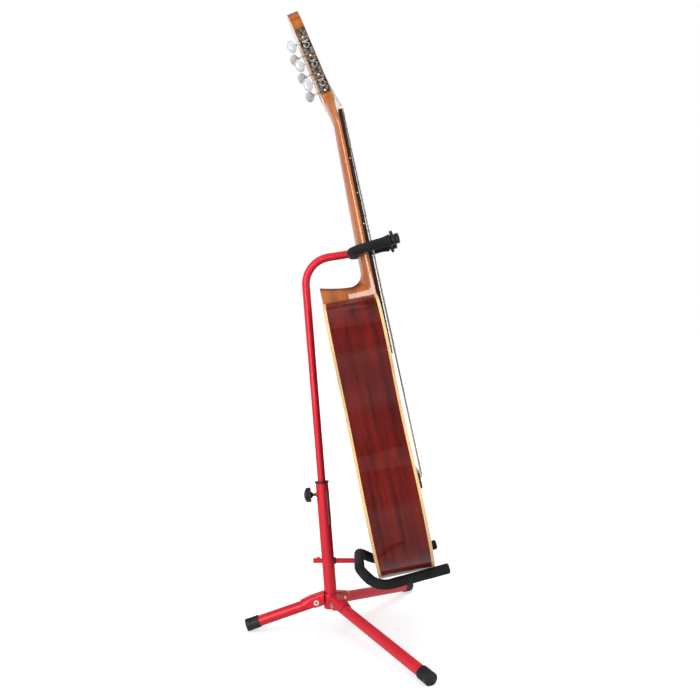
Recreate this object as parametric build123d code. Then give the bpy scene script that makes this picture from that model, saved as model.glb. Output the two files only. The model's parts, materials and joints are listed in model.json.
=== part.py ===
from build123d import *
import math
import os

os.makedirs("parts", exist_ok=True)

# Frame: X is the way the guitar faces, Z is up, the floor is Z = 0. Millimetres.
# The stand is drawn with its post over X = 0 and moved by POST_X when it is saved,
# so that the origin lies on the floor under the middle of the whole object.
POST_X = -26.0

# Clearances
RUN = 0.05  # shaft in a hole
GAP = 0.3  # between faces that move past each other
SLIP = 0.15  # telescoping tube in its bush

# Stand: post, mast and hub
LEAN = 4.6  # post leans back, degrees
HUB_Z = 54.0
POST_R = 11.0
POST_WALL = 1.2
POST_LOW = -13.0  # along the post from the hub point
POST_TOP = 209.0
MAST_R = 7.0
MAST_WALL = 1.2
MAST_LOW = 116.0
MAST_BEND = 48.0
MAST_RISE = 8.9  # forward part of the mast, degrees above level
BUSH_LONG = 40.0
BUSH_FLANGE_R = 12.6
BUSH_FLANGE_T = 3.0
HUB_R = POST_R + 2.6
HUB_HIGH = 27.0

# Stand: legs
LEG_R = 9.5
LEG_WALL = 1.4
PIVOT_R = HUB_R + LEG_R + 2.9
PIVOT_Z = 52.5
FRONT_ANGLE = 60.5
FRONT_REACH = 311.0
REAR_REACH = 146.0
CHANNEL_T = 1.5
CHANNEL_LONG = 26.5
CHANNEL_CORNER = 0.5  # inside, under the width of a leg's end
CHANNEL_ROUND = 3.0
RIVET_R = 3.0
FOOT_R = LEG_R + 1.5
FOOT_LONG = 24.0
FOOT_FLAT = 0.7  # how far the worn flat cuts into the foot's lower edge

# Stand: clamp
CLAMP_AT = 189.0
SCREW_R = 2.5
KNOB_R = 13.4
KNOB_NEAR = 21.0
KNOB_FAR = 33.4
NUT_R = 4.4
NUT_FAR = POST_R + 1.0
KNOB_DOME = 20.0
KNOB_NECK = 4.0

# Stand: cradle
ROD_R = 4.25
CRADLE_BAR_R = 4.0
ROD_Z = 124.4
ROD_BACK = -32.0
CRADLE_X = 49.5
CRADLE_HALF = 96.0
CRADLE_BACK_HALF = 74.5
CRADLE_BEND = 43.0
CRADLE_LOW = (81.6, 101.67)
ARM_RISE = 15.35  # the arms' slope, degrees
TIP_OVER = 16.2  # the bar's tip in front of the guitar
FOAM_TIP = 5.0
CRADLE_FOAM_R = 8.75
RING_T = 1.55
RING_LONG = 2.86

# Stand: yoke
YOKE_UP = 78.0  # its back bar, above the guitar's body along the neck
YOKE_TILT = 16.0
YOKE_HALF = 48.0
YOKE_CORNER = 30.0
YOKE_BAR_R = 4.0
YOKE_BAR_LONG = 82.0
YOKE_FOAM_R = 8.5
YOKE_GAP = 0.4  # foam to the neck's back
YOKE_FOAM_LONG = 68.5
CAP_R = 9.2
CAP_AT = 76.6
CAP_END = 84.5
STRAP_T = CAP_AT - YOKE_FOAM_LONG - 2 * GAP
STRAP_R = 9.4

# Guitar: where it rests
BACK_OFF = 3.6  # its back's lower edge, in front of the cradle's low corner
TILT = 11.75

# Guitar: body
BODY_L = 489.0
DEPTH = 95.6
LOWER = 185.0
WAIST = 119.0
UPPER = 142.0
TAIL_R = 255.0
LOWER_R = 118.0
UPPER_R = 82.0
SHOULDER_R = 330.0
SIDE_T = 2.5
BIND_H = 5.0
PLATE_T = 2.5
LINING_W = 6.0
LINING_H = 14.0
HOLE_R = 43.0
HOLE_Z = 335.0
BLOCK_HALF = 32.0
NECK_BLOCK = 34.0
TAIL_BLOCK = 20.0

# Guitar: neck, head and strings
SCALE = 655.0
NUT_Z = 816.5
NUT_W = 5.0
NECK_NUT_HALF = 26.0
NECK_BODY_HALF = 31.0
NECK_NUT_D = 13.4
NECK_HEEL_D = 19.4
NECK_WALL = 3.0
HEEL_R = 22.0
HEEL_HALF = 13.0
HEEL_HIGH = 28.5
HEEL_RISE = 0.8  # its waist is higher than the neck is deep by this
HEEL_OVER = 3.0  # how far its sections are drawn into the front and the body before they are cut
HEEL_INSET = 0.2  # how far it starts inside the neck
HEEL_LEAD = 8.0
HEEL_WAIST = 21.0
HEEL_STEPS = 10
THROAT_DOWN = 24.0  # below the nut
THROAT_HALF = 30.0
THROAT_STEP = 0.5  # how far the throat stays inside the head's lower end
THROAT_WALL = 15.5
BOARD_T = 6.5
FRETS = 19
FRET_H = 1.1
FRET_W = 2.0
HEAD_TILT = 11.0
HEAD_T = 19.3
HEAD_HALF = 37.0
HEAD_LOW = 12.0
CREST_HIGH = 12.0
HEAD_L = 187.5
SLOT_Y = 21.0
SLOT_W = 17.0
SLOT_LOW = 24.0
SLOT_HIGH = 133.5
SADDLE_Z = NUT_Z - SCALE
SADDLE_TOP = 13.0
STRING_NUT_HALF = 21.5
STRING_SADDLE_HALF = 29.0
WOUND_R = (0.55, 0.47, 0.4)
NYLON_R = (0.51, 0.43, 0.37)
STRING_LIFT = 0.9  # over the frets at the nut
STRING_BEND = 1.6
TIE_X = 6.4  # the string's height in the tie block
TIE_BACK = 22.5
TIE_FRONT = 10.0
TURNS = 3
WINDING_GAP = 0.6

# Guitar: tuners
ROLLER_AT = (43.5, 79.5, 115.5)
ROLLER_R = 4.4
TIP_R = 3.0
GEAR_R = ROLLER_R + 0.6
GEAR_TEETH = 14
PLATE_LOW = 27.5
PLATE_HIGH = 148.5
TUNER_T = 1.2
WORM_R = 1.9
SHAFT_R = 1.3
WORM_UP = GEAR_R + WORM_R + GAP
GEAR_T = 4.0
BUTTON_AT = 25.0
BUTTON_X = 7.75
BUTTON_H = 11.5
BUTTON_T = 8.0

# Where the guitar rests: its soundboard's lower edge on the arms, its back's on their rising part
TURN = math.radians(TILT)
UNDER = TAIL_R - math.sqrt((TAIL_R + CRADLE_FOAM_R + GAP) ** 2 - CRADLE_HALF ** 2)  # the arms, above the tail
ARM_SLOPE = math.tan(math.radians(ARM_RISE))
TAIL_X = CRADLE_LOW[0] + BACK_OFF + DEPTH * math.cos(TURN)
ARM_UNDER = TAIL_X - UNDER * math.sin(TURN) - CRADLE_LOW[0]
TAIL_Z = CRADLE_LOW[1] + ARM_UNDER * ARM_SLOPE - UNDER * math.cos(TURN)
CRADLE_TIP = (TAIL_X + TIP_OVER, CRADLE_LOW[1] + (TAIL_X + TIP_OVER - CRADLE_LOW[0]) * ARM_SLOPE)


def guitar_point(x, y, z):
    """A point of the guitar's frame, in the stand's."""
    return (TAIL_X + x * math.cos(TURN) - z * math.sin(TURN), y,
            TAIL_Z + x * math.sin(TURN) + z * math.cos(TURN))


# Where the neck meets the heel's curve and the throat, and the yoke's back bar behind it
HEEL_TOP = BODY_L + HEEL_RISE + NECK_HEEL_D + HEEL_R
THROAT_Z = NUT_Z - THROAT_DOWN
YOKE_SHARE = (BODY_L + YOKE_UP - HEEL_TOP) / (THROAT_Z - HEEL_TOP)
YOKE_NECK = NECK_HEEL_D + (NECK_NUT_D - NECK_HEEL_D) * YOKE_SHARE
YOKE_X, _, YOKE_Z = guitar_point(-YOKE_NECK - YOKE_FOAM_R - YOKE_GAP, 0, BODY_L + YOKE_UP)

LOW = (Align.CENTER, Align.CENTER, Align.MIN)
POST = Location((0, 0, HUB_Z), (0, -LEAN, 0))
FRONT = Plane((0, 0, 0), x_dir=(0, 1, 0), z_dir=(1, 0, 0))
GUITAR = Location((TAIL_X, 0, TAIL_Z), (0, -TILT, 0))
HEAD = Location((0, 0, NUT_Z + NUT_W), (0, -HEAD_TILT, 0))
YOKE = Location((YOKE_X, 0, YOKE_Z), (0, -YOKE_TILT, 0))


def save(name, shape):
    """One file per node, in the shared frame."""
    export_step(Compound(children=[s.moved(Location((POST_X, 0, 0))) for s in shape.solids()]),
                f"parts/{name}.step")


def rod(radius, start, end):
    """A round bar between two points."""
    a, b = Vector(*start), Vector(*end)
    plane = Plane(a, z_dir=(b - a))
    return plane * Cylinder(radius, (b - a).length, align=LOW)


def box(x, y, z):
    """A box from three (low, high) pairs."""
    lows = Pos(x[0], y[0], z[0])
    return lows * Box(x[1] - x[0], y[1] - y[0], z[1] - z[0], align=(Align.MIN,) * 3)


def along(path, radius):
    """A round bar swept along a path."""
    section = Plane(path @ 0, z_dir=path % 0) * Circle(radius)
    return sweep(section, path=path)


def group(shapes):
    """Several separate solids as one node."""
    return Compound(children=[s for shape in shapes for s in shape.solids()])


# Stand

def post_point(a):
    """The point on the post's axis at a distance along it from the hub point."""
    lean = math.radians(LEAN)
    return (-a * math.sin(lean), 0, HUB_Z + a * math.cos(lean))


def clamp_hole(radius, start, end):
    """A bar along the clamp screw's axis, behind the post."""
    return POST * rod(radius, (-start, 0, CLAMP_AT), (-end, 0, CLAMP_AT))


def post_tube():
    """The lower tube, with the welded nut for the clamp and the holes for the cradle's rod."""
    tube = POST * rod(POST_R, (0, 0, POST_LOW), (0, 0, POST_TOP))
    tube += clamp_hole(NUT_R, POST_R - POST_WALL / 2, NUT_FAR)
    tube -= POST * rod(POST_R - POST_WALL, (0, 0, POST_LOW - 1), (0, 0, POST_TOP + 1))
    tube -= clamp_hole(SCREW_R + RUN, 0, NUT_FAR + 1)
    return tube - rod(ROD_R, (-40, 0, ROD_Z), (40, 0, ROD_Z))


def collar_bush():
    """The plastic bush that guides the mast at the top of the post."""
    bush = rod(POST_R - POST_WALL, (0, 0, POST_TOP - BUSH_LONG), (0, 0, POST_TOP))
    flange = rod(BUSH_FLANGE_R, (0, 0, POST_TOP), (0, 0, POST_TOP + BUSH_FLANGE_T))
    flange = fillet(flange.edges(), 1.0)
    bore = rod(MAST_R + SLIP, (0, 0, 0), (0, 0, POST_TOP + 20))
    return POST * (bush + flange - bore) - clamp_hole(SCREW_R + GAP, 0, NUT_FAR)


def label_strip():
    """A bare label place: a thin strip on the front of the post."""
    outer = rod(POST_R + 0.35, (0, 0, 136), (0, 0, 196)) - rod(POST_R, (0, 0, 130), (0, 0, 200))
    return POST * (outer & box((2, 40), (-8.5, 8.5), (130, 200)))


def leg_frame(angle, reach):
    """A leg's frame at its rivet and the leg's length: x runs out along the leg, y along the rivet."""
    out, down = reach - PIVOT_R, PIVOT_Z + FOOT_FLAT
    length = math.sqrt(out * out + down * down - FOOT_R * FOOT_R)
    slope = math.degrees(math.atan2(down, out) - math.atan2(FOOT_R, length))
    place = Location((0, 0, PIVOT_Z), (0, 0, angle)) * Location((PIVOT_R, 0, 0), (0, slope, 0))
    return place, length


LEGS = {
    "rear": leg_frame(180, REAR_REACH),
    "left": leg_frame(FRONT_ANGLE, FRONT_REACH),
    "right": leg_frame(-FRONT_ANGLE, FRONT_REACH),
}
INNER = LEG_R + GAP
OUTER = INNER + CHANNEL_T


def base_hub():
    """The collar with three channels that hold the legs, closed on top as the legs' stop."""
    hub = POST * rod(HUB_R, (0, 0, POST_LOW), (0, 0, POST_LOW + HUB_HIGH))
    for place, _ in LEGS.values():
        channel = box((-PIVOT_R + 8, CHANNEL_LONG), (-OUTER, OUTER), (-8, OUTER))
        tops = channel.edges().filter_by(Axis.X).group_by(Axis.Z)[-1]
        channel = fillet(tops, CHANNEL_ROUND)
        room = box((-PIVOT_R, CHANNEL_LONG + 1), (-INNER, INNER), (-30, INNER))
        ends = room.edges().filter_by(Axis.X).group_by(Axis.Z)[-1]
        room = fillet(ends, CHANNEL_CORNER)
        wall = place * (channel - room)
        end = place * box((-PIVOT_R + 8, -LEG_R - 0.7), (-INNER, INNER), (-8, INNER))
        hub += wall + end
    for place, _ in LEGS.values():
        hub -= place * rod(RIVET_R, (0, -30, 0), (0, 30, 0))
    return hub - POST * rod(POST_R, (0, 0, -60), (0, 0, 60)) - box((-60, 60), (-60, 60), (0, PIVOT_Z - 14.5))


def leg_rivet(place):
    """A hollow rivet through a channel and its leg."""
    head = OUTER + 1.7
    rivet = rod(RIVET_R, (0, -head, 0), (0, head, 0))
    for side in (-1, 1):
        cap = rod(RIVET_R + 1.7, (0, side * OUTER, 0), (0, side * head, 0))
        rivet += cap
        rivet -= rod(RIVET_R - 1.0, (0, side * (head - 4.5), 0), (0, side * (head + 1), 0))
    return place * rivet


def leg_tube(place, length):
    """A leg: a tube with its inner end rounded about the rivet."""
    tube = rod(LEG_R, (-LEG_R, 0, 0), (length - 3, 0, 0))
    tube &= box((0, length), (-20, 20), (-20, 20)) + rod(LEG_R, (0, -20, 0), (0, 20, 0))
    tube -= rod(LEG_R - LEG_WALL, (-20, 0, 0), (length, 0, 0))
    return place * (tube - rod(RIVET_R + RUN, (0, -20, 0), (0, 20, 0)))


def leg_foot(place, length):
    """A ribbed rubber foot, with the flat where it meets the floor."""
    foot = rod(FOOT_R, (length - FOOT_LONG, 0, 0), (length, 0, 0))
    for k in range(3):
        at = length - FOOT_LONG + 4 + 5 * k
        core = rod(FOOT_R - 0.6, (at - 1, 0, 0), (at + 3, 0, 0))
        foot -= rod(FOOT_R + 1, (at, 0, 0), (at + 2, 0, 0)) - core
    foot -= rod(LEG_R, (0, 0, 0), (length - 3, 0, 0))
    return place * foot - box((-400, 400), (-400, 400), (-40, 0))


def clamp_knob():
    """A five-lobed knob with a domed face and a short tapered neck, moulded on the clamp screw."""
    lobe, deep = 4.2, KNOB_FAR - KNOB_NEAR
    plan = Circle(KNOB_R - 2.4) + PolarLocations(KNOB_R - lobe, 5, 90) * Circle(lobe)
    knob = extrude(plan, deep)
    knob &= Pos(0, 0, deep - KNOB_DOME) * Sphere(KNOB_DOME)
    knob += Pos(0, 0, -KNOB_NECK / 2) * Cone(SCREW_R + 0.6, KNOB_R / 2, KNOB_NECK)
    knob -= Pos(0, 0, -KNOB_NECK) * Cylinder(SCREW_R, KNOB_NECK + 9, align=LOW)
    return POST * Location((-KNOB_NEAR, 0, CLAMP_AT), (0, -90, 0)) * knob


def clamp_screw():
    """The clamp screw, its tip just off the mast."""
    return clamp_hole(SCREW_R, MAST_R + GAP, KNOB_NEAR + 9)


def cradle_path(extra=0.0):
    """The cradle's bent bar, from one tip down, up round the back and out to the other."""
    rise = math.radians(ARM_RISE)
    tip = (CRADLE_TIP[0] + extra * math.cos(rise), CRADLE_TIP[1] + extra * math.sin(rise))
    arm = [(tip[0], CRADLE_HALF, tip[1]), (CRADLE_LOW[0], CRADLE_HALF, CRADLE_LOW[1]),
           (CRADLE_X, CRADLE_BACK_HALF, ROD_Z)]
    near = [(x, -y, z) for x, y, z in arm]
    return FilletPolyline(*near, *reversed(arm), radius=CRADLE_BEND)


def cradle_bar():
    """The cradle's bar with the rod that goes through the post and its locking lug."""
    bar = along(cradle_path(), CRADLE_BAR_R)
    bar += rod(ROD_R, (ROD_BACK, 0, ROD_Z), (CRADLE_X, 0, ROD_Z))
    return bar + rod(2.6, (-23.0, 0, ROD_Z), (-23.0, 0, ROD_Z + ROD_R + 2.0))


def cradle_foam():
    """The foam sleeve round the cradle's bar, closed at its tips."""
    foam = along(cradle_path(FOAM_TIP), CRADLE_FOAM_R)
    tips = foam.faces().filter_by(GeomType.PLANE).edges()
    return fillet(tips, 4.0) - cradle_bar()


def cradle_bush():
    """The ring on the rod in front of the post."""
    end = POST_R - (ROD_Z - HUB_Z) * math.tan(math.radians(LEAN)) + RING_LONG
    ring = rod(ROD_R + RING_T, (0, 0, ROD_Z), (end, 0, ROD_Z))
    ring -= rod(ROD_R, (-1, 0, ROD_Z), (end + 1, 0, ROD_Z))
    return ring - POST * rod(POST_R, (0, 0, 0), (0, 0, POST_TOP))


def yoke_path(length):
    """The yoke's bent bar, in the yoke's own tilted plane."""
    ends = [(length, -YOKE_HALF, 0), (0, -YOKE_HALF, 0), (0, YOKE_HALF, 0), (length, YOKE_HALF, 0)]
    return FilletPolyline(*ends, radius=YOKE_CORNER)


def mast():
    """The upper tube with its bend, and the yoke's bar welded on its end."""
    rise, lean = math.radians(MAST_RISE), math.radians(LEAN)
    level = YOKE_Z - YOKE_X * math.tan(rise)
    corner_x = -math.tan(lean) * (level - HUB_Z) / (1 + math.tan(lean) * math.tan(rise))
    corner = (corner_x, 0, level + corner_x * math.tan(rise))
    path = FilletPolyline(post_point(MAST_LOW), corner, (YOKE_X, 0, YOKE_Z), radius=MAST_BEND)
    tube = along(path, MAST_R) - along(path, MAST_R - MAST_WALL)
    return tube + YOKE * along(yoke_path(YOKE_BAR_LONG), YOKE_BAR_R)


def yoke_foam(bar):
    """The foam sleeve round the yoke's bar, with the mast let in at the back."""
    foam = YOKE * along(yoke_path(YOKE_FOAM_LONG), YOKE_FOAM_R)
    rise = math.radians(MAST_RISE)
    start = (YOKE_X - 40 * math.cos(rise), 0, YOKE_Z - 40 * math.sin(rise))
    return foam - bar - rod(MAST_R, start, (YOKE_X, 0, YOKE_Z))


def yoke_caps():
    """The two end caps that keep the strap on the yoke."""
    caps = []
    for side in (-1, 1):
        cap = rod(CAP_R, (CAP_AT, 0, 0), (CAP_END, 0, 0))
        cap = fillet(cap.edges(), 2.4)
        cap -= rod(YOKE_BAR_R, (0, 0, 0), (YOKE_BAR_LONG, 0, 0))
        caps.append(YOKE * Pos(0, side * YOKE_HALF, 0) * cap)
    return group(caps)


def neck_strap():
    """The rubber strap across the yoke's open end: two rings, a band and two finger tabs."""
    low, high = YOKE_FOAM_LONG + GAP, YOKE_FOAM_LONG + GAP + STRAP_T
    mid = (low + high) / 2
    strap = box((mid - 1.8, mid + 1.8), (-YOKE_HALF, YOKE_HALF), (-4.5, 4.5))
    for side in (-1, 1):
        strap += rod(STRAP_R, (low, side * YOKE_HALF, 0), (high, side * YOKE_HALF, 0))
    strap += rod(2.6, (mid, -YOKE_HALF, 0), (mid - 3.5, -YOKE_HALF, 15.0))
    strap += rod(2.6, (mid, YOKE_HALF, 0), (mid + 2.0, YOKE_HALF, -14.0))
    for side in (-1, 1):
        strap -= rod(YOKE_BAR_R + GAP, (0, side * YOKE_HALF, 0), (CAP_END, side * YOKE_HALF, 0))
    strap -= box((0, low), (-80, 80), (-40, 40)) + box((high, 120), (-80, 80), (-40, 40))
    return YOKE * strap


# Guitar body, drawn upright with its tail at the origin and its soundboard at x = 0

def between(inner, outer):
    """The height from one centre to the other of two circles whose centres lie outer apart."""
    return math.sqrt(outer * outer - inner * inner)


def outline_arcs():
    """The centres and radii of five tangent arcs, from the tail's middle to the heel's."""
    lower = (LOWER - LOWER_R, TAIL_R - between(LOWER - LOWER_R, TAIL_R - LOWER_R))
    upper = (UPPER - UPPER_R, BODY_L - SHOULDER_R + between(UPPER - UPPER_R, SHOULDER_R - UPPER_R))
    small, large = 10.0, 1000.0
    for _ in range(60):
        waist_r = (small + large) / 2
        low = between(WAIST + waist_r - lower[0], LOWER_R + waist_r)
        high = between(WAIST + waist_r - upper[0], UPPER_R + waist_r)
        if low + high > upper[1] - lower[1]:
            large = waist_r
        else:
            small = waist_r
    waist = (WAIST + waist_r, lower[1] + low)
    return [((0, TAIL_R), TAIL_R), (lower, LOWER_R), (waist, -waist_r), (upper, UPPER_R),
            ((0, BODY_L - SHOULDER_R), SHOULDER_R)]


def half_outline(inset):
    """One half of the body's outline, moved inward by inset: a hollow arc has a negative radius."""
    arcs = [(Vector(*centre), radius - inset) for centre, radius in outline_arcs()]
    ends = [Vector(0, inset)]
    for (c, r), (d, q) in zip(arcs, arcs[1:]):
        if r > 0 and q > 0:
            from_big, to_small, size = (c, d, q) if r > q else (d, c, r)
            ends.append(to_small + (to_small - from_big).normalized() * size)
        else:
            ends.append(c + (d - c).normalized() * abs(r))
    ends.append(Vector(0, BODY_L - inset))
    edges = []
    for (centre, radius), a, b in zip(arcs, ends, ends[1:]):
        middle = centre + ((a + b) / 2 - centre).normalized() * abs(radius)
        edges.append(ThreePointArc(a, middle, b))
    return edges


def body_face(inset):
    """The body's outline as a face, moved inward by inset."""
    half = half_outline(inset)
    return make_face(half + [mirror(edge, Plane.YZ) for edge in half])


def slice_of(face, low, high):
    """A face of the body's plan, thick from x = low to x = high."""
    return Pos(low, 0, 0) * extrude(FRONT * face, high - low)


FACES = {inset: body_face(inset) for inset in (0, SIDE_T, SIDE_T + LINING_W)}
RIM = FACES[0] - FACES[SIDE_T]
INSIDE = FACES[SIDE_T]
NECK_ROOM = box((-DEPTH, 0), (-BLOCK_HALF, BLOCK_HALF), (BODY_L - NECK_BLOCK, BODY_L))
TAIL_ROOM = box((-DEPTH, 0), (-BLOCK_HALF - 8, BLOCK_HALF + 8), (-1, TAIL_BLOCK))


def side(sign):
    """One bent side, between the two bindings."""
    rim = slice_of(RIM, -DEPTH + BIND_H, -BIND_H)
    return rim & box((-DEPTH, 0), (0, 250) if sign > 0 else (-250, 0), (-10, BODY_L + 10))


def soundboard():
    """The front plate with its sound hole."""
    return slice_of(INSIDE, -PLATE_T, 0) - rod(HOLE_R, (-9, 0, HOLE_Z), (9, 0, HOLE_Z))


def linings():
    """The strips that join the plates to the sides, stopping at the two blocks."""
    ring = FACES[SIDE_T] - FACES[SIDE_T + LINING_W]
    front = slice_of(ring, -PLATE_T - LINING_H, -PLATE_T)
    back = slice_of(ring, -DEPTH + PLATE_T, -DEPTH + PLATE_T + LINING_H)
    return group([front - NECK_ROOM - TAIL_ROOM, back - NECK_ROOM - TAIL_ROOM])


def block(room):
    """An end block between the two plates."""
    return slice_of(INSIDE, -DEPTH + PLATE_T, -PLATE_T) & room


def braces(bars, plate, way):
    """Struts glued on a plate: each has a middle, a length, a width, a height and a turn."""
    limit = slice_of(FACES[SIDE_T + LINING_W], -DEPTH, 0)
    made = []
    for (y, z), length, width, height, turn in bars:
        strut = Box(height, width, length)
        strut = Location((plate + way * height / 2, y, z), (turn, 0, 0)) * strut
        made.append(strut & limit)
    return group(made)


def top_braces():
    """Two cross bars either side of the sound hole and five fan struts."""
    bars = [((0, 283), 220, 7, 15, 90), ((0, 390), 270, 7, 15, 90)]
    bars += [((k * 27, 175), 190, 4, 5, k * 4.0) for k in (-2, -1, 0, 1, 2)]
    return braces(bars, -PLATE_T, -1)


def back_braces():
    """Three cross bars on the back."""
    bars = [((0, z), 400, 7, 15, 90) for z in (110, 262, 400)]
    return braces(bars, -DEPTH + PLATE_T, 1)


# Guitar neck and head

def neck_half(z):
    """Half the neck's width at a height."""
    share = (NUT_Z - z) / (NUT_Z - BODY_L)
    return NECK_NUT_HALF + (NECK_BODY_HALF - NECK_NUT_HALF) * share


def bow(half, deep, wall=NECK_WALL):
    """A neck section: flat in front, straight walls and a half-oval back along +v."""
    return make_face([
        Line((-half, 0), (half, 0)),
        Line((half, 0), (half, wall)),
        EllipticalCenterArc((0, wall), half, deep - wall, start_angle=0, arc_size=180),
        Line((-half, wall), (-half, 0)),
    ])


def neck_plane(z):
    """A plane across the neck, its v axis towards the neck's back."""
    return Plane((0, 0, z), x_dir=(0, 1, 0), z_dir=(0, 0, 1))


def neck_shaft():
    """The neck from the heel's curve to just below the nut."""
    return loft([neck_plane(HEEL_TOP) * bow(neck_half(HEEL_TOP), NECK_HEEL_D),
                 neck_plane(THROAT_Z) * bow(neck_half(THROAT_Z), NECK_NUT_D)])


def heel_fan(turn):
    """A plane across the heel's turn, its v axis towards the turn's axis, and the heel's depth there."""
    reach, a = NECK_HEEL_D + HEEL_R, math.radians(turn)
    out = reach / max(math.cos(a), math.sin(a)) + HEEL_OVER
    start = (-reach + out * math.cos(a), 0, HEEL_TOP - out * math.sin(a))
    return Plane(start, x_dir=(0, 1, 0), z_dir=(math.sin(a), 0, math.cos(a))), out - HEEL_R


def heel():
    """The heel: starts just inside the neck, fans round a turn behind it, then narrows to the back."""
    wall, wide = NECK_WALL + HEEL_OVER, neck_half(HEEL_TOP) - HEEL_INSET
    top = Plane((HEEL_OVER, 0, HEEL_TOP + HEEL_LEAD), x_dir=(0, 1, 0), z_dir=(0, 0, 1))
    sections = [top * bow(wide - HEEL_INSET, NECK_HEEL_D + HEEL_OVER - 2 * HEEL_INSET, wall)]
    for k in range(HEEL_STEPS + 1):
        plane, deep = heel_fan(90 * k / HEEL_STEPS)
        half = wide + (HEEL_WAIST - wide) * k / HEEL_STEPS
        sections.append(plane * bow(half, deep - (0 if k else HEEL_INSET), wall))
    first = NECK_HEEL_D + HEEL_R
    for k in range(1, HEEL_STEPS + 1):
        share = k / HEEL_STEPS
        high = NECK_HEEL_D + (HEEL_HIGH - NECK_HEEL_D) * share ** 1.6
        half = HEEL_WAIST + (HEEL_HALF - HEEL_WAIST) * share ** 0.7
        start = (-first - (DEPTH - first) * share, 0, BODY_L + HEEL_RISE - HEEL_OVER)
        plane = Plane(start, x_dir=(0, 1, 0), z_dir=(1, 0, 0))
        sections.append(plane * bow(half, high + HEEL_OVER, wall))
    front = box((0, 30), (-60, 60), (BODY_L - 20, NUT_Z + NUT_W))
    return loft(sections, ruled=True) - slice_of(FACES[0], -DEPTH - 5, 5) - front


def head_plan():
    """The head's outline seen from the front, with a stepped crest."""
    rise = HEAD_L - CREST_HIGH
    right = [(THROAT_HALF + THROAT_STEP, HEAD_LOW), (HEAD_HALF, HEAD_LOW + 13), (HEAD_HALF, HEAD_L - 32),
             (HEAD_HALF - 3, HEAD_L - 27), (HEAD_HALF - 3, HEAD_L - 21), (HEAD_HALF - 8, HEAD_L - 18),
             (HEAD_HALF - 8, rise)]
    crest = ThreePointArc((HEAD_HALF - 8, rise), (0, HEAD_L), (8 - HEAD_HALF, rise))
    left = [(-y, h) for y, h in reversed(right)]
    return make_face([Polyline(*right), crest, Polyline(*left), Line(left[-1], right[0])])


def head():
    """The slotted head with bores for the rollers."""
    plate = Pos(-HEAD_T, 0, 0) * extrude(FRONT * head_plan(), HEAD_T)
    for sign in (-1, 1):
        slot = Pos(sign * SLOT_Y, (SLOT_LOW + SLOT_HIGH) / 2) * SlotOverall(SLOT_HIGH - SLOT_LOW, SLOT_W, 90)
        plate -= Pos(-HEAD_T - 1, 0, 0) * extrude(FRONT * slot, HEAD_T + 2)
        for h in ROLLER_AT:
            axis = [(-HEAD_T / 2, sign * y, h) for y in (SLOT_Y, 50, 6)]
            plate -= rod(ROLLER_R + RUN, axis[0], axis[1])
            plate -= rod(TIP_R + RUN, axis[2], axis[0])
    return HEAD * plate


def neck():
    """The whole neck in one piece of wood: heel, shaft, throat and head."""
    low = neck_plane(THROAT_Z) * bow(neck_half(THROAT_Z), NECK_NUT_D)
    turn = math.radians(HEAD_TILT)
    start = head_point(0, 0, HEAD_LOW + 2)
    across = Plane(start, x_dir=(0, 1, 0), z_dir=(-math.sin(turn), 0, math.cos(turn)))
    throat = loft([low, across * bow(THROAT_HALF, HEAD_T - THROAT_STEP, THROAT_WALL)])
    whole = neck_shaft() + heel() + throat + head()
    return whole - box((0, 30), (-60, 60), (BODY_L, NUT_Z + NUT_W))


def fretboard():
    """The fingerboard, cut round at the sound hole."""
    end = HOLE_Z + 45
    plan = make_face(Polyline((-neck_half(end), end), (neck_half(end), end), (NECK_NUT_HALF, NUT_Z),
                              (-NECK_NUT_HALF, NUT_Z), close=True))
    board = extrude(FRONT * plan, BOARD_T)
    return board - rod(HOLE_R + 3, (-1, 0, HOLE_Z), (BOARD_T + 1, 0, HOLE_Z))


def fret_z(k):
    """The height of a fret."""
    return NUT_Z - SCALE * (1 - 2 ** (-k / 12))


def frets():
    """The frets: low bars with rounded tops, each as wide as the board there."""
    bars = []
    for k in range(1, FRETS):
        half = neck_half(fret_z(k)) - 0.4
        z = (fret_z(k) - FRET_W / 2, fret_z(k) + FRET_W / 2)
        bar = box((BOARD_T, BOARD_T + FRET_H), (-half, half), z)
        tops = bar.edges().filter_by(Axis.Y).group_by(Axis.X)[-1]
        bars.append(fillet(tops, 0.7))
    return group(bars)


def bridge():
    """The bridge: two thin wings, a raised middle, a tie block and the saddle's slot."""
    low, high = SADDLE_Z - 20, SADDLE_Z + 7
    wings = box((0, 4), (-95, 95), (low, high))
    wings = fillet(wings.edges().filter_by(Axis.X), 5)
    wings = fillet(wings.faces().sort_by(Axis.X)[-1].edges(), 2)
    middle = box((0, 9), (-42, 42), (low, high))
    middle -= box((5.0, 20), (-60, 60), (low + 11, SADDLE_Z - 5))
    whole = wings + middle
    return whole - box((4.0, 20), (-40, 40), (SADDLE_Z - 1.3, SADDLE_Z + 1.3))


def saddle():
    """The bone saddle in its slot."""
    piece = box((4.0, SADDLE_TOP), (-40, 40), (SADDLE_Z - 1.3, SADDLE_Z + 1.3))
    return fillet(piece.edges().filter_by(Axis.Y).group_by(Axis.X)[-1], 0.9)


def nut():
    """The bone nut."""
    piece = box((0, BOARD_T + 2.7), (-NECK_NUT_HALF, NECK_NUT_HALF), (NUT_Z, NUT_Z + NUT_W))
    return fillet(piece.edges().filter_by(Axis.Y).group_by(Axis.X)[-1], 1.2)


def head_point(x, y, h):
    """A point of the head's frame, in the guitar's."""
    turn = math.radians(HEAD_TILT)
    return (x * math.cos(turn) - h * math.sin(turn), y,
            NUT_Z + NUT_W + x * math.sin(turn) + h * math.cos(turn))


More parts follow.
